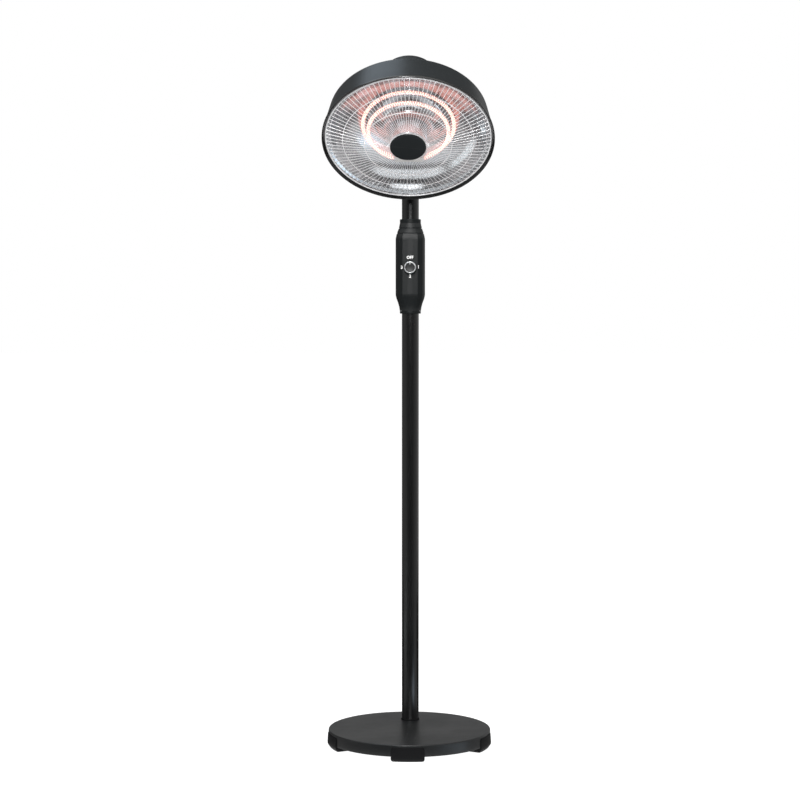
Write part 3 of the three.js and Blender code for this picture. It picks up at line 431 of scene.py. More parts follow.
def box_half(side):
    """Half of the box's skin: its outline at each level slides from twelve sides to a circle as
    the half width falls to the collar's. The wall is laid on inside, parallel to the skin."""
    line = box_outline[box_outline[:, 1] * side > 0.9]
    line = line[np.argsort(np.arctan2(line[:, 1], line[:, 0]))]
    seam = BOX_SEAM / 2 * side
    first, last = (BOX_HALF_WIDTH * side, seam), (-BOX_HALF_WIDTH * side, seam)
    line = np.array([first, *line, last])
    t = np.linspace(0, 1, 5)[:-1][None, :, None]
    between = line[:-1, None] * (1 - t) + line[1:, None] * t
    line = np.concatenate([between.reshape(-1, 2), line[-1:]])
    z, width = box_levels().T
    scale = (width / BOX_HALF_WIDTH)[:, None, None]
    rounder = ((BOX_HALF_WIDTH - width) / (BOX_HALF_WIDTH - COLLAR_R))[:, None, None]
    circle = line / np.linalg.norm(line, axis=1)[:, None]
    skin = line * scale * (1 - rounder) + circle * width[:, None, None] * rounder
    skin[:, [0, -1], 1] = seam
    inner = skin * (1 - BOX_WALL / np.linalg.norm(skin, axis=2))[..., None]
    inner[:, [0, -1], 1] = seam
    rows, columns = skin.shape[:2]
    heights = np.broadcast_to(z[:, None, None], (rows, columns, 1))
    outer3, inner3 = np.concatenate([skin, heights], -1), np.concatenate([inner, heights], -1)
    loop = np.concatenate([outer3, inner3[::-1]])
    faces = grid_faces(2 * rows, columns, close_columns=False).tolist()
    for column in (0, columns - 1):
        for r in range(rows - 1):
            outside, inside = r * columns + column, (2 * rows - 1 - r) * columns + column
            faces.append((outside, outside + columns, inside - columns, inside))
    return loop.reshape(-1, 3), faces


def rod(radius, low, high, sides=32):
    """A plain closed rod along the drawing's upright axis."""
    return spun([(0, low), (radius, low), (radius, high), (0, high)], sides)


def moved(shape, x=0.0, y=0.0, z=0.0):
    """The shape carried by that much along the drawing's axes."""
    return (np.asarray(shape[0]) + [x, y, z], *shape[1:])


def together(*shapes):
    """Several shapes as one. A shape is its points, its faces and, where it has one, its grain."""
    counts = np.cumsum([0] + [len(s[0]) for s in shapes])
    faces = [tuple(corner + n for corner in face) for s, n in zip(shapes, counts) for face in s[1]]
    grain = [s[2] if len(s) > 2 else np.zeros_like(s[0]) for s in shapes]
    return np.concatenate([s[0] for s in shapes]), faces, np.concatenate(grain)


def bored(thing, cutter_shape, place, how="DIFFERENCE"):
    """Cuts a shape out of a piece, or adds it, and keeps the piece's name and finish."""
    cutter = piece("cutter", cutter_shape, place, thing.data.materials[0], "stand")
    change = thing.modifiers.new("bore", "BOOLEAN")
    change.operation, change.object, change.solver = how, cutter, "EXACT"
    change.use_self = True
    evaluated = thing.evaluated_get(bpy.context.evaluated_depsgraph_get())
    whole = bpy.data.meshes.new_from_object(evaluated)
    thing.modifiers.clear()
    thing.data = whole
    whole.shade_smooth()
    whole.set_sharp_from_angle(angle=math.radians(CREASE))
    bpy.data.objects.remove(cutter)
    return thing


def at_screws(shape):
    """The shape at each of the box's four screws."""
    return together(*[moved(shape, x, KNOB_Z - z) for _, x, z in SCREW_SPOTS])


recess_line = [(0, -5), (1.9, -5), (1.9, 19), (3.9, 19), (3.9, 60), (0, 60)]
box_front = piece("box_shell_front", box_half(-1), on_stand, charcoal, "stand", "box_front")
bored(box_front, rod(SHAFT_HOLE_R, -60, -20), facing)
box_rear = piece("box_shell_rear", box_half(1), on_stand, charcoal, "stand", "box_rear")
bored(box_rear, at_screws(rod(BOSS_R, BOX_SEAM / 2, BOSS_BACK)), facing, "UNION")
bored(box_rear, at_screws(spun(eased(recess_line, 0, 1), 48)), facing)

# ------------------------------------------------------------------ control box: collars
# A round collar closes each end of the box against the pole. It is moulded with a soft rim.

COLLARS = [("top", 1339, 1349, [0.3, 0.3, 1.6, 0.6]), ("bottom", 1105, 1112, [0.6, 1.6, 0.3, 0.3])]
for collar_name, low, high, easing in COLLARS:
    collar = eased([(SLIDING_R, low), (COLLAR_R, low), (COLLAR_R, high), (SLIDING_R, high)], easing, 6)
    piece(f"box_ring_{collar_name}", spun(collar, POLE_SIDES), on_stand, charcoal,
          "stand", f"box_collar_{collar_name}")

# ------------------------------------------------------------------ control box: screws
# Four zinc pan-head screws with a cross recess pull the halves together from behind.


def cross_screw(shank, root, head_radius, head_low, head_high):
    """A shank with a domed head, whose cross is a sunken four-armed star in the dome. Each row
    is a height, a radius, and how much the row takes the star's outline."""
    a = round_angles(48)
    arm = np.clip((np.abs(np.cos(2 * a)) - 0.80) / 0.16, 0, 1)
    z, r, star = np.array([
        (root, 0, 0), (root, shank, 0), (head_low, shank, 0), (head_low, head_radius, 0),
        ((head_low + head_high) / 2, head_radius, 0), (head_high - 0.25, head_radius * 0.85, 0),
        (head_high, head_radius * 0.6, 0), (head_high, head_radius * 0.58, 1),
        (head_high - 1.1, head_radius * 0.50, 1), (head_high - 1.3, 0, 1)]).T
    return round_grid(r[:, None] * (1 - 0.72 * star[:, None] * (1 - arm)), z, a)


box_screw = cross_screw(shank=1.5, root=-12, head_radius=3.2, head_low=19.3, head_high=21.6)
for spot, x, z in SCREW_SPOTS:
    piece(f"box_cross_screw_{spot}", moved(box_screw, x, KNOB_Z - z), facing, zinc,
          "stand", f"box_screw_{spot}")

# ------------------------------------------------------------------ control box: inside
# The rotary switch with its nut, the ceramic terminal block and the tip-over switch stand
# behind the front half. They are out of sight, and keep the solid model's shapes.

ceramic = coat("white_ceramic", (0.66, 0.65, 0.62), 0.45, pebble=1.5, relief=0.03, drift=0.08, tone=0.06)
dress(nylon, "switch_body", "tip_switch", "washer_left", "washer_right")
dress(zinc, "switch_nut", "switch_shaft")
dress(ceramic, "terminal_block")

# ------------------------------------------------------------------ control knob
# A black moulded knob with a ribbed wall and a dished face stands in front. A chromed ring is
# pressed on its edge, and a bar on the ring points at the setting.

knob_black = coat("knob_plastic", (0.016, 0.0165, 0.017), 0.42, pebble=0.5, relief=0.012, worn=0.2)
KNOB_R, KNOB_TIP, KNOB_FOOT = 15.5, -49.2, -36.2
KNOB_RIBS, RIB_DEPTH = 40, 0.38
FACE_R, RING_BACK = KNOB_R - 3.2, -44.9


def bright_plating(name, colour, metallic, smears_a_metre, smoothest, roughest):
    """Bright plating, whose gloss changes from place to place in soft smears."""
    material, link, shader, node = finish_nodes(name, colour, smoothest, metallic)
    smears = node("TexNoise", Scale=smears_a_metre, Detail=3.0)
    link(node("TexCoord").outputs["Object"], smears.inputs["Vector"])
    gloss = node("MapRange", To_Min=smoothest, To_Max=roughest)
    link(smears.outputs["Fac"], gloss.inputs["Value"])
    link(gloss.outputs["Result"], shader.inputs["Roughness"])
    return material


def knob_shape():
    """A dished face, a step for the ring, and a wall with shallow ribs that fade at its ends.
    Each row is a radius, a height, and the share of the ribs' depth that it has."""
    a = round_angles(240)
    face = [(0, -47.6, 0), (4, -47.75, 0), (8, -48.1, 0), (10.4, -48.5, 0), (11.3, -48.6, 0)]
    step = [(11.85, -48.3, 0), (12.0, -47.6, 0), (12.0, -44.6, 0), (14.7, -44.6, 0), (14.9, -44.2, 0)]
    wall = [(14.95, -43.4, 0.6), (15.1, -40.0, 1), (15.3, -37.2, 0.9), (KNOB_R, KNOB_FOOT - 0.4, 0)]
    back = [(15.3, KNOB_FOOT, 0), (8.4, KNOB_FOOT, 0), (8.4, -38.6, 0), (0, -38.6, 0)]
    radius, height, ribbed = np.array(face + step + wall + back).T
    rib = RIB_DEPTH * (0.5 - 0.5 * np.cos(KNOB_RIBS * a)) ** 2
    return round_grid(radius[:, None] - ribbed[:, None] * rib, height, a)


def bar(width, length, low, high, y):
    """A small block of that width and length round (0, y), from low to high."""
    x, h = width / 2, length / 2
    outline = [(-x, y - h), (x, y - h), (x, y + h), (-x, y + h)]
    corners = np.array([(*corner, z) for z in (low, high) for corner in outline])
    return corners, [(0, 3, 2, 1), (4, 5, 6, 7), (0, 1, 5, 4), (1, 2, 6, 5), (2, 3, 7, 6), (3, 0, 4, 7)]


chrome = bright_plating("knob_chrome", (0.80, 0.81, 0.82), 1.0, 90.0, 0.26, 0.38)
ring_outline = eased(
    [(FACE_R, -48.4), (FACE_R + 0.8, KNOB_TIP), (KNOB_R - 1, KNOB_TIP), (KNOB_R, -48.0),
     (KNOB_R, RING_BACK), (FACE_R, RING_BACK)],
    [0.3, 0.8, 0.9, 0.8, 0.3, 0.3], 5)
pointer = bar(width=1.7, length=5.4, low=-49.0, high=-48.3, y=2.0 - FACE_R)
piece("knob_body", knob_shape(), facing, knob_black, "knob", "control_knob")
piece("knob_bright_ring", together(spun(ring_outline, 160), pointer), facing, chrome,
      "knob", "knob_ring")

# ------------------------------------------------------------------ dial markings
# The settings are printed in white round the knob: OFF above it, and 1, 2 and 3 clockwise. They
# lie on the front face, and 1 and 3 run over its edges on to the next sides.

print_white = coat("white_print", (0.93, 0.93, 0.92), 0.5, pebble=0.4, relief=0.004, tone=0.04)
NUMERAL_HEIGHT = 8.4
PRINT_PROUD, PRINT_SUNK = 0.14, 0.06  # how far the film's front and back are out of and in the box


def letters(name, words):
    """The words as a mesh: flat, cut small enough to bend, and one unit thick."""
    curve = bpy.data.curves.new(name, "FONT")
    curve.body = words
    curve.align_x, curve.align_y = "CENTER", "CENTER"
    curve.offset = 0.035
    curve.resolution_u = 6
    text = bpy.data.objects.new("drawn_" + name, curve)
    bpy.context.scene.collection.objects.link(text)
    bpy.context.view_layer.update()
    mesh = bpy.data.meshes.new_from_object(text.evaluated_get(bpy.context.evaluated_depsgraph_get()))
    bpy.data.objects.remove(text)
    made = bmesh.new()
    made.from_mesh(mesh)
    bmesh.ops.triangulate(made, faces=made.faces)
    bmesh.ops.subdivide_edges(made, edges=[e for e in made.edges if e.calc_length() > 0.12], cuts=3)
    top = bmesh.ops.extrude_face_region(made, geom=made.faces)
    for corner in (g for g in top["geom"] if isinstance(g, bmesh.types.BMVert)):
        corner.co.z = 1.0
    made.to_mesh(mesh)
    made.free()
    return mesh


def marking(name, words, x, z, height, width=None):
    """Text as a thin film. It is laid on the box by sinking it to the box's front outline."""
    mesh = letters(name, words)
    flat = np.empty(len(mesh.vertices) * 3)
    mesh.vertices.foreach_get("co", flat)
    flat = flat.reshape(-1, 3)
    size = np.ptp(flat[:, :2], axis=0)
    middle = (flat[:, :2].min(0) + flat[:, :2].max(0)) / 2
    scale = np.array([(width or height * size[0] / size[1]) / size[0], height / size[1]])
    sideways, up = ((flat[:, :2] - middle) * scale).T
    sideways = sideways + x
    edge_x, edge_y = BOX_CORNERS[:2].T
    skin = np.interp(np.abs(sideways), [0, *edge_x], [edge_y[0], *edge_y])
    film = np.where(flat[:, 2] > 0.5, -PRINT_PROUD, PRINT_SUNK)
    placed = on_stand(np.stack([sideways, skin + film, z + up], -1))
    mesh.vertices.foreach_set("co", placed.ravel())
    made = bmesh.new()
    made.from_mesh(mesh)
    bmesh.ops.remove_doubles(made, verts=made.verts, dist=SLIVER)
    bmesh.ops.recalc_face_normals(made, faces=made.faces)
    made.to_mesh(mesh)
    made.free()
    mesh.materials.clear()
    mesh.materials.append(print_white)
    thing = bpy.data.objects.new(name, mesh)
    bpy.context.scene.collection.objects.link(thing)
    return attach(thing, "stand")


marking("mark_off", "OFF", 0.0, KNOB_Z + 26.0, 8.2, width=17.5)
marking("mark_1", "1", 21.6, KNOB_Z + 1.5, NUMERAL_HEIGHT)
marking("mark_2", "2", 0.0, KNOB_Z - 22.4, NUMERAL_HEIGHT)
marking("mark_3", "3", -21.8, KNOB_Z + 0.5, NUMERAL_HEIGHT)

# ------------------------------------------------------------------ tilt hinge: fork and bolt
# A cast fork plugged into the pole's top holds the head's knuckle between two ears. A zinc bolt
# runs through them, with its hexagonal head at the left and a five-lobed hand knob at the right.

HINGE_Z, EAR_IN, EAR_OUT, EAR_R = 1468.0, 14.8, 20.8, 17.0
PIN_HOLE_R = 5.3


def at_hinge(points):
    """Millimetres from the hinge's axis, to metres in the object's frame."""
    return on_stand(np.asarray(points, float) + [0, 0, HINGE_Z])


def across(points):
    """Turns a shape drawn along +Z to point along +X at the hinge."""
    x, y, z = np.asarray(points, float).T
    return at_hinge(np.stack([z, y, -x], -1))


def outward(sides):
    """The unit normal of each side of an outline, to the side's right."""
    length = np.maximum(np.linalg.norm(sides, axis=1), 1e-9)[:, None]
    return np.stack([sides[:, 1], -sides[:, 0]], -1) / length


def prism(outline, low, high, ease=0.8, steps=4):
    """An outline pulled from low to high. At both ends it draws in along a quarter circle of
    the radius ease, square to its own edge, and a flat face closes it."""
    outline = np.asarray(outline, float)
    on = np.roll(outline, -1, 0) - outline
    back = outline - np.roll(outline, 1, 0)
    out = outward(on) + outward(back)
    out = out / np.maximum(np.sum(out * out, 1), 0.5)[:, None] * 2
    x, y = outline.T
    shoelace = np.sum(x * np.roll(y, -1) - np.roll(x, -1) * y)
    out = out * np.sign(shoelace)
    q = np.linspace(0, np.pi / 2, steps + 1)
    inset = np.r_[ease * (1 - np.sin(q)), ease * (1 - np.sin(q[::-1]))]
    height = np.r_[low + ease * (1 - np.cos(q)), high - ease * (1 - np.cos(q[::-1]))]
    points = outline[None] - out[None] * inset[:, None, None]
    points = np.concatenate([points, np.broadcast_to(height[:, None, None], (*points.shape[:2], 1))], -1)
    return points.reshape(-1, 3), capped_faces(len(height), len(outline))


def arc(radius, start, stop, count, centre=(0, 0)):
    """Points on a circle between two angles in degrees."""
    a = np.radians(np.linspace(start, stop, count))
    return np.stack([centre[0] + radius * np.cos(a), centre[1] + radius * np.sin(a)], -1)


def ear_place(points):
    """An ear is drawn as (Y, Z) with its thickness along X."""
    y, z, x = np.asarray(points, float).T
    return at_hinge(np.stack([x, y, z], -1))


def hexagon(radius, low, high, chamfer=1.2):
    """A hexagonal bolt head with its corners turned off at the low end, which is its outer face."""
    a = round_angles(96)
    flats = radius * np.cos(np.pi / 6) * sixfold(a)
    turned_off = [np.minimum(flats, radius * 0.86), np.minimum(flats, radius * 0.95)]
    z = np.array([low, low, low + chamfer * 0.35, low + chamfer, high - 0.4, high, high])
    return round_grid(np.stack([0 * a, *turned_off, flats, flats, flats - 0.4, 0 * a]), z, a)


ear_line = np.concatenate([[(-EAR_R, -24), (EAR_R, -24)], arc(EAR_R, 0, 180, 33)])
fork_stem = eased(
    [(0, -65.7), (20.2, -65.7), (20.2, -31.7), (23.6, -31.7), (23.6, -25.7), (21.6, -22.7), (0, -22.7)],
    [0, 0.6, 0.1, 0.8, 1.5, 2.0, 0], 5)
pin_hole = rod(PIN_HOLE_R, -40, 40)
fork = piece("fork_cap", spun(fork_stem, 96), at_hinge, satin_black, "stand", "pole_fork")
for low, high in ((EAR_IN, EAR_OUT), (-EAR_OUT, -EAR_IN)):
    bored(fork, prism(ear_line, low, high, 0.9), ear_place, "UNION")
bored(fork, pin_hole, across)

THREAD_R, THREAD_DEPTH, THREAD_PITCH = 4.75, 0.25, 1.25
thread_z = np.linspace(EAR_OUT + 4, EAR_OUT + 18.6, 60)
thread_r = THREAD_R + THREAD_DEPTH * np.cos(thread_z * 2 * np.pi / THREAD_PITCH)
bolt_line = np.concatenate([
    [(0, -EAR_OUT - 2), (5, -EAR_OUT - 2), (5, EAR_OUT + 3.5)],
    np.stack([thread_r, thread_z], -1),
    [(3.9, EAR_OUT + 19), (0, EAR_OUT + 19)],
])
piece("tilt_bolt", together(spun(bolt_line, 48), hexagon(9.4, -EAR_OUT - 7, -EAR_OUT - 0.3)), across, zinc,
      "stand", "hinge_bolt")


def hand_knob_shape():
    """The lobed outline swells from a round hub, is full between 11.5 and 18 mm, and domes over
    its outer face to a shallow dish round the bolt. Each row is a height and a radius, which
    for the lobes is a share of their outline."""
    a = round_angles(180)
    lobes = 18.5 + 2.8 * np.cos(5 * a)
    hub = [(0.3, PIN_HOLE_R), (0.3, 11), (7.5, 11), (8.6, 11.6)]
    lobed = [(9.0, 0.86), (9.9, 0.95), (11.5, 1), (14, 1), (18, 1), (20, 0.965), (21.3, 0.88), (22.0, 0.74),
             (21.8, 0.58), (21.2, 0.48), (20.6, 0.40), (20.4, 0.36)]
    hole = [(19.6, 5.6), (19.3, PIN_HOLE_R), (0.3, PIN_HOLE_R)]
    z = EAR_OUT + np.array(hub + lobed + hole)[:, 0]
    r = np.concatenate([np.outer([radius for _, radius in rows], outline)
                        for rows, outline in ((hub, 1 + 0 * a), (lobed, lobes), (hole, 1 + 0 * a))])
    return round_grid(r, z, a)


piece("tilt_hand_knob", hand_knob_shape(), across, knob_black, "clamp", "tilt_knob")

# ------------------------------------------------------------------ head: arm
# A cast arm runs from the knuckle to a curved saddle, which two screws hold on the neck.

HEAD_TILT = math.radians(40)
HINGE_R, HINGE_D = 245.0, 122.6
NECK_R, KNUCKLE_HALF = 68.0, 12.4
ARM_BEND_R, ARM_HALF_WIDTH = 150, 10
SADDLE_HALF, SADDLE_MIDDLE = 31, 140.1
ARM_SCREW_D, ARM_SCREW_TURN = 141.0, math.radians(17)


def in_head(points):
    """The head is drawn on its own axis: z runs backwards from the plane of its rim, and +Y
    points from the axis to the hinge. It is set down on the hinge, turned by its tilt."""
    x, y, z = np.asarray(points, float).T
    y, z = y - HINGE_R, z - HINGE_D
    cos, sin = math.cos(HEAD_TILT), math.sin(HEAD_TILT)
    return at_hinge(np.stack([x, y * cos + z * sin, z * cos - y * sin], -1))


def arm_place(points):
    """The arm is drawn as (radius, depth) with its width along X."""
    y, z, x = np.asarray(points, float).T
    return in_head(np.stack([x, y, z], -1))


def knuckle_place(points):
    """The knuckle is drawn along +Z and lies along X at the hinge."""
    x, y, z = np.asarray(points, float).T
    return in_head(np.stack([z, y + HINGE_R, -x + HINGE_D], -1))


def saddle_shape():
    """A plate bent round the neck. Its front and back edges close in near both ends along a
    rounded rectangle's corners. Each row is a radius, the edge it is at, and its inset."""
    turn = np.linspace(-1, 1, 61)
    corner = np.clip((np.abs(turn * SADDLE_HALF) - 25) / 6, 0, 1)
    half_height = 12 + 6 * np.sqrt(np.clip(1 - corner**2, 0, 1))
    inner, outer = NECK_R + 0.5, NECK_R + 4
    angle = np.pi / 2 - turn * SADDLE_HALF / NECK_R
    soft = np.array([(inner, -1, 0), (outer - 0.8, -1, 0), (outer - 0.2, -1, 0.3), (outer, -1, 1.0),
                     (outer, 1, -1.0), (outer - 0.2, 1, -0.3), (outer - 0.8, 1, 0), (inner, 1, 0)])
    r, edge, inset = soft.T[:, :, None]
    depth = SADDLE_MIDDLE + edge * half_height + inset
    points = np.stack([r * np.cos(angle), r * np.sin(angle), depth], -1)
    rows, count = points.shape[:2]
    faces = grid_faces(rows, count, close_columns=False).tolist()
    faces += [tuple(k * count for k in range(rows)), tuple(k * count + count - 1 for k in range(rows))]
    return points.reshape(-1, 3), faces


arm_line = eased(
    [(HINGE_R, HINGE_D - 13), (HINGE_R, HINGE_D + 13), (ARM_BEND_R, HINGE_D + 24),
     (NECK_R + 2.5, HINGE_D + 33), (NECK_R + 2.5, HINGE_D + 7), (ARM_BEND_R, HINGE_D - 6)],
    [1, 1, 30, 1, 1, 30], 10)
knuckle_line = eased([(0, -KNUCKLE_HALF), (EAR_R, -KNUCKLE_HALF), (EAR_R, KNUCKLE_HALF), (0, KNUCKLE_HALF)],
                     [0, 1.2, 1.2, 0], 4)
arm = piece("tilt_arm", prism(arm_line, -ARM_HALF_WIDTH, ARM_HALF_WIDTH, 1.6), arm_place, satin_black,
            "head", "head_arm")
bored(arm, saddle_shape(), in_head, "UNION")
bored(arm, spun(knuckle_line, 96), knuckle_place, "UNION")
bored(arm, pin_hole, knuckle_place)

arm_screw = cross_screw(shank=2.0, root=58, head_radius=4.2, head_low=NECK_R + 4.3, head_high=NECK_R + 7)
for arm_side, turn in (("left", ARM_SCREW_TURN), ("right", -ARM_SCREW_TURN)):

    def on_saddle(points, turn=turn):
        """Turns a screw drawn along +Z to stand out from the neck, beside the arm."""
        x, y, z = np.asarray(points, float).T
        cos, sin = math.cos(turn), math.sin(turn)
        return in_head(np.stack([-z * sin - x * cos, z * cos - x * sin, y + ARM_SCREW_D], -1))

    piece(f"arm_cross_screw_{arm_side}", arm_screw, on_saddle, zinc,
          "head", f"arm_screw_{arm_side}")

# ------------------------------------------------------------------ head: cowl and rim
# The drum is spun from 1.2 mm steel: a nearly straight wall, a rolled shoulder and a low cone
# for a roof. A rolled black ring closes its mouth and holds the guard.

charcoal_satin = coat("charcoal_satin_coat", (0.009, 0.011, 0.012), 0.36,
                      pebble=1.1, relief=0.006, drift=0.04, worn=0.12, sheen=0.35)
HEAD_SIDES, NECK_SIDES = 256, 192
cowl_outside = [(210.4, 7.3), (197.2, 77.5), (193.6, 82), (140, 100.4), (58, 118.8)]
cowl_inside = [(58, 117.5), (139.6, 99.1), (192.8, 80.9), (195.9, 77.2), (209.2, 7.3)]
cowl_outline = eased(cowl_outside + cowl_inside, [0.4, 6, 6, 14, 0.4, 0.4, 14, 5, 5, 0.4], 8)
rim_outline = eased(
    [(205.3, 4.4), (210.9, -0.6), (212.2, -0.6), (212.8, 0.4), (212.8, 5), (210.6, 7), (205.3, 7)],
    [0.6, 0.9, 0.6, 0.6, 2, 1.5, 0.5], 6)
piece("drum_cowl", spun(cowl_outline, HEAD_SIDES), in_head, charcoal_satin, "head", "cowl")
piece("drum_rim", spun(rim_outline, HEAD_SIDES), in_head, satin_black, "head", "front_ring")

# ------------------------------------------------------------------ head: vented neck
# The wiring housing behind the drum has twelve vent slots round its wall and a pressed lid.

NECK_WALL, NECK_FRONT, NECK_BACK, NECK_HOLE_R = 1.5, 119.1, 214.0, 40.0
VENTS, VENT_D, VENT_R, VENT_HALF = 12, 198.0, 2.5, 5.5
LID_R, LID_BACK = 66.4, 230.0
neck_line = eased(
    [(NECK_R, NECK_FRONT), (NECK_R, NECK_BACK), (NECK_R - NECK_WALL, NECK_BACK),
     (NECK_R - NECK_WALL, NECK_FRONT + NECK_WALL), (NECK_HOLE_R, NECK_FRONT + NECK_WALL),
     (NECK_HOLE_R, NECK_FRONT)],
    [0.8, 0.4, 0.4, 1.0, 0.3, 0.3], 4)
vent_line = np.concatenate([arc(VENT_R, 0, 180, 13, (0, VENT_HALF)),
                            arc(VENT_R, 180, 360, 13, (0, -VENT_HALF))])
vent_cut = prism(vent_line, 58, 78, 0.01, 1)


def vent(turn):
    """A slot's round-ended cutter, drawn along +Z, laid out from the axis at that angle."""
    x, y, z = vent_cut[0].T
    cos, sin = math.cos(turn), math.sin(turn)
    return np.stack([z * cos - x * sin, z * sin + x * cos, y + VENT_D], -1), vent_cut[1]


neck = piece("neck_drum", spun(neck_line, NECK_SIDES), in_head, charcoal_satin,
             "head", "neck_housing")
bored(neck, together(*[vent((i + 0.5) * 2 * math.pi / VENTS + math.pi / 2) for i in range(VENTS)]), in_head)
lid_line = eased(
    [(0, LID_BACK), (66.2, LID_BACK - 0.2), (NECK_R, LID_BACK - 2), (NECK_R, NECK_BACK + 0.3),
     (LID_R, NECK_BACK + 0.3), (LID_R, 227.4), (65.6, 228.2), (0, 228.4)],
    [0, 1.2, 1.2, 0.4, 0.4, 0.5, 0.5, 0], 6)
piece("neck_lid", spun(lid_line, NECK_SIDES), in_head, charcoal_satin, "head", "neck_cap")
dress(sheet_steel, "heat_shield")
dress(ceramic, "head_terminal_block")
dress(nylon, "thermal_cutout")

# ------------------------------------------------------------------ head: reflector
# A dish of polished aluminium, spun on a former, throws the heat forward. A raised hub of the
# same sheet fills its middle. Faint turning marks run round both.


def polished(name, colour, roughness, marks, lift):
    """Spun sheet metal: fine rings that follow the turning vary its gloss and lift its surface,
    and a slow waviness stays from the former."""
    material, link, shader, node = finish_nodes(name, colour, roughness, 1.0)
    grain = node("Attribute", attribute_name="grain").outputs["Vector"]
    stretch = node("Mapping", Scale=(marks, 6.0, 6.0))
    link(grain, stretch.inputs["Vector"])
    rings = node("TexNoise", Scale=1.0, Detail=4.0, Roughness=0.65)
    link(stretch.outputs["Vector"], rings.inputs["Vector"])
    waves = node("TexNoise", Scale=34.0, Detail=2.0)
    link(node("TexCoord").outputs["Object"], waves.inputs["Vector"])
    gloss = node("MapRange", From_Min=0.25, From_Max=0.75, To_Min=roughness * 0.7, To_Max=roughness * 1.4)
    link(rings.outputs["Fac"], gloss.inputs["Value"])
    link(gloss.outputs["Result"], shader.inputs["Roughness"])
    wavy = node("Bump", Strength=0.5, Distance=0.00005)
    fine = node("Bump", Strength=1.0, Distance=lift * 1e-3)
    link(waves.outputs["Fac"], wavy.inputs["Height"])
    link(rings.outputs["Fac"], fine.inputs["Height"])
    link(wavy.outputs["Normal"], fine.inputs["Normal"])
    link(fine.outputs["Normal"], shader.inputs["Normal"])
    return material


aluminium = polished("polished_aluminium", (0.86, 0.88, 0.90), roughness=0.17, marks=900.0, lift=0.002)
HUB_TOP, HUB_R, SHEET = -19.5, 46.0, 0.8
dish_front = [(204.2, 8.6), (193, 11.6), (178, 30), (150, 49), (115, 61), (88, 66)]
dish_back = [(88, 66.9), (115.4, 61.9), (150.6, 49.8), (178.8, 30.6), (193.5, 12.4), (204.2, 9.5)]
dish_line = eased(dish_front + dish_back, [0.2, 3, 9, 14, 14, 0.2, 0.2, 14, 14, 9, 3, 0.2], 10)
hub_front = [(0, HUB_TOP), (HUB_R, HUB_TOP), (HUB_R, 36), (50, 48),
             (60, 57), (75, 63.5), (86, 67.2), (92, 67.2)]
hub_back = [(92, 68), (85.8, 68), (74.7, 64.3), (59.5, 57.7), (49.3, 48.5),
            (HUB_R - SHEET, 36.2), (HUB_R - SHEET, HUB_TOP + SHEET), (0, HUB_TOP + SHEET)]
hub_line = eased(hub_front + hub_back, [0, 2, 6, 6, 7, 7, 3, 0.3, 0.3, 3, 7, 7, 6, 6, 1.4, 0], 8)
piece("bright_dish", spun(dish_line, HEAD_SIDES), in_head, aluminium,
      "head", "reflector_dish")
piece("bright_hub", spun(hub_line, 224), in_head, aluminium, "head", "reflector_hub")

# ------------------------------------------------------------------ head: ring lamps
# Two clear quartz tubes are bent to rings, open at the hinge's side. Inside each a wire wound
# as a spring glows white to peach. Steatite ends close them, and four steel clips hold them.

glowing, link, shader, node = finish_nodes("glowing_wire", (1.0, 0.62, 0.45), 0.6)
shader.inputs["Emission Strength"].default_value = 2.1
heat = node("TexNoise", Scale=60.0, Detail=1.0)
link(node("TexCoord").outputs["Object"], heat.inputs["Vector"])
hot = node("Mix", data_type="RGBA")
hot.inputs["A"].default_value = (1.0, 0.52, 0.42, 1)
hot.inputs["B"].default_value = (1.0, 0.66, 0.56, 1)
link(heat.outputs["Fac"], hot.inputs["Factor"])
link(hot.outputs["Result"], shader.inputs["Emission Color"])

quartz, link, shader, node = finish_nodes("clear_quartz_painted_glow", (1.0, 0.96, 0.93), 0.04)
shader.inputs["Alpha"].default_value = 0.12
shader.inputs["Specular IOR Level"].default_value = 0.8
# The clear glass is given a painted coral glow of its own. It stands in for the wound wire's light in the
# tube, and it is what the metal mirrors, since the wire is hidden from mirrored and matt rays.
shader.inputs["Emission Color"].default_value = (1.0, 0.27, 0.19, 1)
shader.inputs["Emission Strength"].default_value = 0.95
drawn = node("TexNoise", Scale=26.0, Detail=2.0)
link(node("TexCoord").outputs["Object"], drawn.inputs["Vector"])
cords = node("Bump", Strength=0.5, Distance=0.0002)
link(drawn.outputs["Fac"], cords.inputs["Height"])
link(cords.outputs["Normal"], shader.inputs["Normal"])

OUTER_R, OUTER_D, INNER_R, INNER_D = 112.7, 50.0, 99.0, 28.0
LAMPS = [("outer", OUTER_R, OUTER_D, 100), ("inner", INNER_R, INNER_D, 88)]
LAMP_GAP = math.radians(22)
TUBE_R, TUBE_BORE_R, BLOCK_HALF, STEM_R = 5.5, 4.4, 6.8, 4.5


def ring_path(radius, depth, count, gap):
    """Points and axes along a lamp's centre line: an arc about the head's axis that starts and
    ends an angle gap from the hinge's side."""
    a = np.linspace(math.pi / 2 + gap, 5 * math.pi / 2 - gap, count)
    out = np.stack([np.cos(a), np.sin(a), 0 * a], -1)
    return out * radius + [0, 0, depth], out, np.broadcast_to([0.0, 0.0, 1.0], out.shape)


def round_section(radius, sides):
    """A round section's points."""
    a = round_angles(sides)
    return radius * np.stack([np.cos(a), np.sin(a)], -1)


def carried(path, side, up, section):
    """The points of a section of (side, up) pairs, the same or one for each point of a path."""
    section = np.broadcast_to(section, (len(path), *np.shape(section)[-2:]))
    return path[:, None] + side[:, None] * section[:, :, :1] + up[:, None] * section[:, :, 1:]


def swept(path, side, up, section):
    """A section carried along a path, with a flat face at each end."""
    points = carried(path, side, up, section)
    return points.reshape(-1, 3), capped_faces(*points.shape[:2])


def unit_rows(rows):
    """Each row's direction, with the length 1."""
    return rows / np.linalg.norm(rows, axis=1)[:, None]


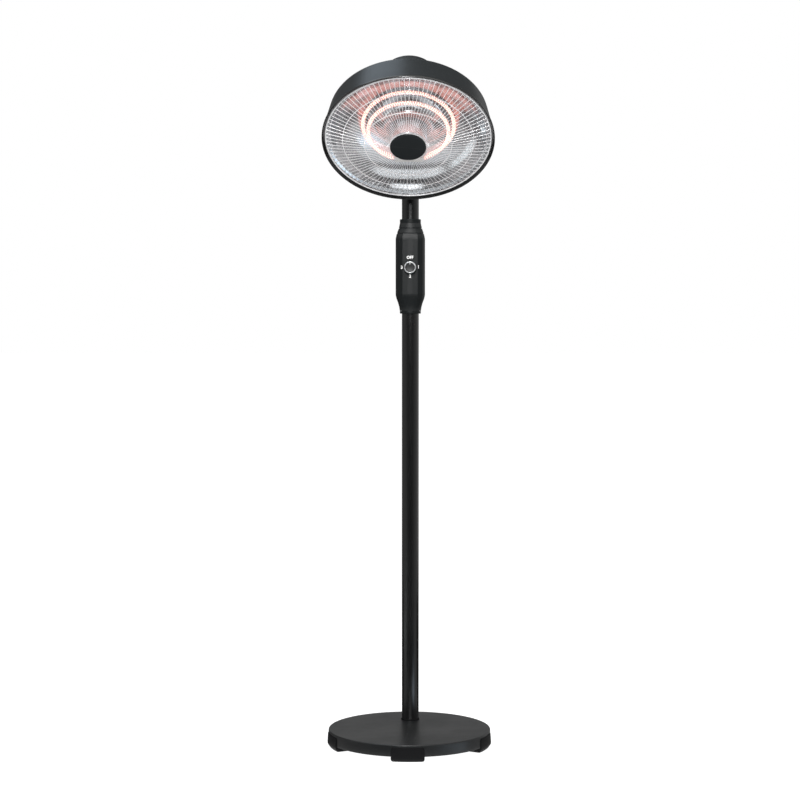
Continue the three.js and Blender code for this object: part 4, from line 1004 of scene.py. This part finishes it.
def lamp_tube(radius, depth, sides=24):
    """The tube's wall: an outer skin out and an inner skin back, joined at both ends."""
    line = ring_path(radius, depth, 220, LAMP_GAP)
    outer, inner = [carried(*line, round_section(r, sides)) for r in (TUBE_R, TUBE_BORE_R)]
    points = np.concatenate([outer, inner[::-1]])
    return points.reshape(-1, 3), grid_faces(len(points), sides)


def spring(radius, depth, turns, coil=3.6, wire=0.7, per_turn=14, sides=6):
    """A wire wound round the lamp's centre line: its own centre stands off by the coil's radius
    and goes once round for each turn. Its section is carried square to the winding."""
    count = turns * per_turn + 1
    path, side, up = ring_path(radius, depth, count, LAMP_GAP + 0.02)
    turn = np.linspace(0, turns * 2 * np.pi, count)[:, None]
    off = side * np.cos(turn) + up * np.sin(turn)
    centre = path + coil * off
    along = unit_rows(np.gradient(centre, axis=0))
    off = unit_rows(off - along * np.sum(off * along, 1)[:, None])
    return swept(centre, off, np.cross(along, off), round_section(wire, sides))


def dish_depth(radius):
    """The depth of the dish's front at a radius, straight from corner to corner."""
    return float(np.interp(radius, *np.array(dish_front)[::-1].T))


block_corners = eased([(-1, -1), (1, -1), (1, 1), (-1, 1)], 0.28, 6)
for lamp, radius, depth, turns in LAMPS:
    piece(f"quartz_ring_{lamp}", lamp_tube(radius, depth), in_head, quartz,
          "head", f"lamp_tube_{lamp}")
    wound = piece(f"wound_wire_{lamp}", spring(radius, depth, turns), in_head, glowing,
                  "head", f"filament_{lamp}")
    wound.visible_diffuse = wound.visible_glossy = False  # the tube's soft glow is what the metal mirrors
    half_arc = (radius - TUBE_R) * math.sin(LAMP_GAP) - 0.3
    seat = radius * math.cos(LAMP_GAP)

    def base_place(points, seat=seat, depth=depth):
        """A lamp's end block is drawn as (X, depth), with its third side along the radius."""
        x, z, y = np.asarray(points, float).T
        return in_head(np.stack([x, y + seat, z + depth], -1))

    block_line = block_corners * [half_arc, BLOCK_HALF]
    block = piece(f"lamp_end_block_{lamp}", prism(block_line, -BLOCK_HALF, BLOCK_HALF, 1.0), base_place,
                  ceramic, "head", f"lamp_base_{lamp}")
    bored(block, moved(rod(STEM_R, depth, dish_depth(seat) - 1.6), 0, seat), in_head, "UNION")

CLIP_HOOK_R, CLIP_HALF_WIDTH = 6.0, 1.2
CLIP_ANGLES = [38, 80, -38, -80]  # degrees from the side away from the hinge
CLIP_LEG, CLIP_LEG_OUT = 101.0, 108.5


def clip_shape():
    """The clip's outline in (radius, depth): a leg on the dish, a hook over each tube."""
    outer, inner = (OUTER_R, OUTER_D), (INNER_R, INNER_D)
    line = np.concatenate([
        [(r, dish_depth(r) - 0.6) for r in (CLIP_LEG, CLIP_LEG_OUT)], [(CLIP_LEG_OUT, 59)],
        arc(CLIP_HOOK_R + 2, 100, 15, 14, outer), arc(CLIP_HOOK_R, 0, 180, 22, outer),
        [(106.7, 46), (105, 36)],
        arc(CLIP_HOOK_R, 0, 180, 22, inner), [(91.2, INNER_D), (91.2, 34), (CLIP_LEG, 41)],
    ])
    return prism(line, -CLIP_HALF_WIDTH, CLIP_HALF_WIDTH, 0.25, 2)


for number, degrees in enumerate(CLIP_ANGLES, 1):
    turn = math.radians(degrees - 90)

    def clip_place(points, turn=turn):
        """The clip is drawn as (radius, depth) and stands at its own angle about the axis."""
        r, z, t = np.asarray(points, float).T
        cos, sin = math.cos(turn), math.sin(turn)
        return in_head(np.stack([r * cos + t * sin, r * sin - t * cos, z], -1))

    piece(f"lamp_steel_clip_{number}", clip_shape(), clip_place, sheet_steel,
          "head", f"lamp_clip_{number}")

# ------------------------------------------------------------------ head: wire guard
# A hundred radial wires are spot-welded to four rings, and the whole domed guard is bright
# plated. A black pressed disc covers the wires' inner ends.

plated = bright_plating("bright_plated_wire", (0.92, 0.92, 0.93), 0.4, 45.0, 0.24, 0.40)
GUARD_WIRES, GUARD_R, GUARD_PROUD, GUARD_DOME = 100, 203.2, 23.5, 28.5
WIRE_FROM = 38
WIRE_RADII = ([WIRE_FROM, 110, 203], [0.5, 0.68, 0.84])  # along the wire, and its radius there
GUARD_RINGS = [(44, 1.0, 1.2), (107.5, 1.0, 1.3), (161, 1.0, 1.3), (GUARD_R, 1.9, 0.4)]


def guard_depth(r):
    """The guard's dome: 23.5 mm proud of the rim's plane on the axis, 5 mm behind it at the edge."""
    return -GUARD_PROUD + GUARD_DOME * (r / GUARD_R) ** 2


def guard_wire(turn, sides=8, steps=22):
    """One radial wire from under the disc to the rim ring, laid on the dome. It is drawn a
    little thinner where the wires crowd together at the disc."""
    r = np.linspace(WIRE_FROM, GUARD_R, steps)
    out = np.array([math.cos(turn), math.sin(turn), 0.0])
    wire = np.interp(r, *WIRE_RADII)[:, None, None]
    path = r[:, None] * out + np.stack([0 * r, 0 * r, guard_depth(r)], -1)
    along = unit_rows(np.gradient(path, axis=0))
    across_it = np.broadcast_to([-math.sin(turn), math.cos(turn), 0.0], path.shape)
    return swept(path, across_it, np.cross(along, across_it), wire * round_section(1, sides))


def guard_ring(radius, wire, behind, around=256, sides=10):
    """A ring of round wire that far behind the radial wires."""
    section = round_section(wire, sides) + [radius, guard_depth(radius) + behind]
    return spun(section, around)[:2]


guard = together(*[guard_wire((i + 0.5) * 2 * math.pi / GUARD_WIRES) for i in range(GUARD_WIRES)],
                 *[guard_ring(*ring) for ring in GUARD_RINGS])
piece("wire_guard", guard[:2], in_head, plated, "head", "guard_grille", crease=60)

disc_line = eased(
    [(0, -27.1), (41.9, -26.6), (44.6, -24.9), (44.6, -23.6), (42.8, -23.6), (40.4, -25.2), (0, -25.7)],
    [0, 2.5, 0.8, 0.3, 0.4, 2, 0], 8)
piece("guard_disc", spun(disc_line, 192), in_head, charcoal_satin, "head", "guard_cap")

# ------------------------------------------------------------------ studio
# A white floor runs out to a white surround. Soft light comes from above and in front. Panels
# that the camera doesn't see stand round the heater and give its dark coats something to mirror.
# From here on sizes are in metres.

FLOOR_HALF = 40
SURROUND_LIGHT = 0.22  # of the surround's white, what reaches matt surfaces


def shown_directly(tree, low):
    """1 for a camera, glossy or transmitted ray, and low for the light on other surfaces."""
    path = tree.nodes.new("ShaderNodeLightPath")
    rays = path.outputs["Is Camera Ray"]
    for other in (path.outputs["Is Glossy Ray"], path.outputs["Is Transmission Ray"]):
        either = tree.nodes.new("ShaderNodeMath")
        either.operation = "MAXIMUM"
        tree.links.new(rays, either.inputs[0])
        tree.links.new(other, either.inputs[1])
        rays = either.outputs[0]
    level = tree.nodes.new("ShaderNodeMapRange")
    level.inputs["To Min"].default_value = low
    tree.links.new(rays, level.inputs["Value"])
    return level.outputs["Result"]


def bare_tree(owner):
    """An empty node tree and a maker of links."""
    owner.use_nodes = True
    owner.node_tree.nodes.clear()
    return owner.node_tree, owner.node_tree.links.new


floor_white = bpy.data.materials.new("floor_white")
tree, link = bare_tree(floor_white)
paint = tree.nodes.new("ShaderNodeBsdfDiffuse")
paint.inputs["Color"].default_value = (0.35, 0.35, 0.35, 1)
glow = tree.nodes.new("ShaderNodeEmission")
glow.inputs["Color"].default_value = (0.96, 0.96, 0.96, 1)
link(shown_directly(tree, 0.0), glow.inputs["Strength"])
both = tree.nodes.new("ShaderNodeAddShader")
link(paint.outputs[0], both.inputs[0])
link(glow.outputs[0], both.inputs[1])
link(both.outputs[0], tree.nodes.new("ShaderNodeOutputMaterial").inputs["Surface"])

floor_mesh = bpy.data.meshes.new("floor")
floor_corners = [(x * FLOOR_HALF, y * FLOOR_HALF, 0) for x, y in ((-1, -1), (1, -1), (1, 1), (-1, 1))]
floor_mesh.from_pydata(floor_corners, [], [(0, 1, 2, 3)])
floor_mesh.materials.append(floor_white)
floor = bpy.data.objects.new("floor", floor_mesh)
bpy.context.scene.collection.objects.link(floor)
floor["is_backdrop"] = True

world = bpy.data.worlds.new("surround")
bpy.context.scene.world = world
tree, link = bare_tree(world)
background = tree.nodes.new("ShaderNodeBackground")
background.inputs["Color"].default_value = (1, 1, 1, 1)
link(shown_directly(tree, SURROUND_LIGHT), background.inputs["Strength"])
link(background.outputs[0], tree.nodes.new("ShaderNodeOutputWorld").inputs["Surface"])


def mirrored_only(name, points, faces, shade):
    """A plain glowing cloth that only mirrored rays meet, so it neither lights nor hides anything."""
    mesh = bpy.data.meshes.new(name)
    mesh.from_pydata(np.asarray(points, float).tolist(), [], faces)
    cloth = bpy.data.materials.new(name + "_cloth")
    tree, link = bare_tree(cloth)
    emission = tree.nodes.new("ShaderNodeEmission")
    emission.inputs["Color"].default_value = (*[c / max(shade) for c in shade], 1)
    emission.inputs["Strength"].default_value = max(shade)
    link(emission.outputs[0], tree.nodes.new("ShaderNodeOutputMaterial").inputs["Surface"])
    mesh.materials.append(cloth)
    stands = bpy.data.objects.new(name, mesh)
    bpy.context.scene.collection.objects.link(stands)
    stands.visible_camera = stands.visible_shadow = False
    stands.visible_diffuse = stands.visible_transmission = False
    stands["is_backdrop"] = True


def panel(name, start, stop, high, away, shade, columns=25):
    """A tall curved panel round the heater between two bearings, in degrees from the front
    towards the right, with an apron of the same cloth on the floor up to the foot."""
    bearing = np.radians(np.linspace(start, stop, columns))
    outline = [(0.22, 0.002), (away, 0.002), (away, high)]
    rows = [np.stack([r * np.sin(bearing), -r * np.cos(bearing), 0 * bearing + z], -1) for r, z in outline]
    faces = grid_faces(len(outline), columns, close_rows=False, close_columns=False).tolist()
    mirrored_only(name, np.concatenate(rows), faces, (shade,) * 3)


def sheet(name, x0, x1, y0, y1, z, shade):
    """A level rectangle of cloth."""
    mirrored_only(name, [(x0, y0, z), (x1, y0, z), (x1, y1, z), (x0, y1, z)], [(0, 1, 2, 3)], shade)


def louvre(name, wide, y0, y1, shade, gap=0.12, low=0.004, high=0.035):
    """A bright cloth on the floor under upright black strips: bright from above, black from the
    side, so the reflector has light to mirror and the pole hasn't."""
    sheet(name, -wide, wide, y0, y1, low, shade)
    rows = np.arange(y0, y1, gap)
    strip = [(-wide, low), (wide, low), (wide, high), (-wide, high)]
    faces = np.arange(4 * len(rows)).reshape(-1, 4).tolist()
    mirrored_only(name + "_strips", [(x, y, z) for y in rows for x, z in strip], faces, (0.02,) * 3)


FRONT_BANDS = [(0, 16, 0.012), (16, 36, 0.075), (36, 52, 0.15), (52, 68, 0.22)]  # bearings and shade
for number, (start, stop, shade) in enumerate(FRONT_BANDS):
    panel(f"front_panel_right_{number}", start, stop, 4.5, 7.0, shade)
    panel(f"front_panel_left_{number}", -stop, -start, 4.5, 7.0, shade)
louvre("bright_floor_near", 1.2, -1.1, -0.42, (0.58, 0.6, 0.62))
louvre("bright_floor_far", 1.6, -3.4, -1.75, (1.5, 1.53, 1.56))
mirrored_only("front_window", [(-1.6, -5.6, 1.74), (2.0, -5.6, 1.74), (2.0, -5.6, 2.5), (-1.6, -5.6, 2.5)],
              [(0, 1, 2, 3)], (2.0, 2.03, 2.07))
sheet("bright_strip_left", -1.68, -1.56, -1.5, 0.3, 0.005, (2.2, 2.35, 2.4))
sheet("dark_floor_behind", -2.5, 2.5, 0.25, 6.0, 0.0035, (0.03, 0.03, 0.03))
panel("grey_panel_left", -112, -68, 3.0, 6.0, 0.28)
panel("grey_panel_right", 68, 100, 3.0, 6.0, 0.31)
panel("grey_panel_rear_right", 100, 155, 4.0, 6.0, 0.50)
panel("grey_panel_rear_left", -160, -112, 4.0, 6.0, 0.15)
panel("grey_panel_back", 155, 200, 3.5, 6.0, 0.30)
sheet("dark_ceiling", -6.0, 6.0, 0.3, 8.0, 4.7, (0.22, 0.22, 0.22))
sheet("bright_ceiling_left", -2.2, -0.25, 0.3, 2.6, 4.6, (1.8, 2.05, 2.3))
sheet("bright_floor_right", 0.2, 0.6, -0.4, -0.1, 0.0035, (1.2, 1.4, 1.6))

for lamp_name, spot, aim, width, height, power in [
    ("overhead", (0.2, -0.4, 3.9), (0, 0, 0.6), 2.4, 2.4, 70),
    ("front_high", (-0.2, -3.9, 3.2), (0, 0, 1.1), 0.6, 1.5, 120),
    ("front_low", (0.1, -3.2, 0.5), (0, 0.1, 1.55), 1.2, 0.8, 70),
]:
    light = bpy.data.lights.new(lamp_name, "AREA")
    light.shape, light.size, light.size_y, light.energy = "RECTANGLE", width, height, power
    stand = bpy.data.objects.new(lamp_name, light)
    stand.location = spot
    stand.rotation_euler = (Vector(aim) - Vector(spot)).to_track_quat("-Z", "Y").to_euler()
    bpy.context.scene.collection.objects.link(stand)
    stand.visible_glossy = lamp_name == "front_high"  # the only one that the metal mirrors

CAMERA_X, CAMERA_AWAY, CAMERA_HIGH = 0.1056, 5.1988, 1.131
LOOK_DOWN, LOOK_LEFT = math.radians(2.76), math.radians(1.46)
camera = bpy.data.objects.new("camera", bpy.data.cameras.new("camera"))
camera.data.lens, camera.data.sensor_width = 90, 36
camera.location = (CAMERA_X, POLE_AXIS[1] / 1000 - CAMERA_AWAY, CAMERA_HIGH)
camera.rotation_euler = (math.pi / 2 - LOOK_DOWN, 0, LOOK_LEFT)
bpy.context.scene.collection.objects.link(camera)
bpy.context.scene.camera = camera
bpy.context.scene.view_settings.view_transform = "Standard"

low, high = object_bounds()
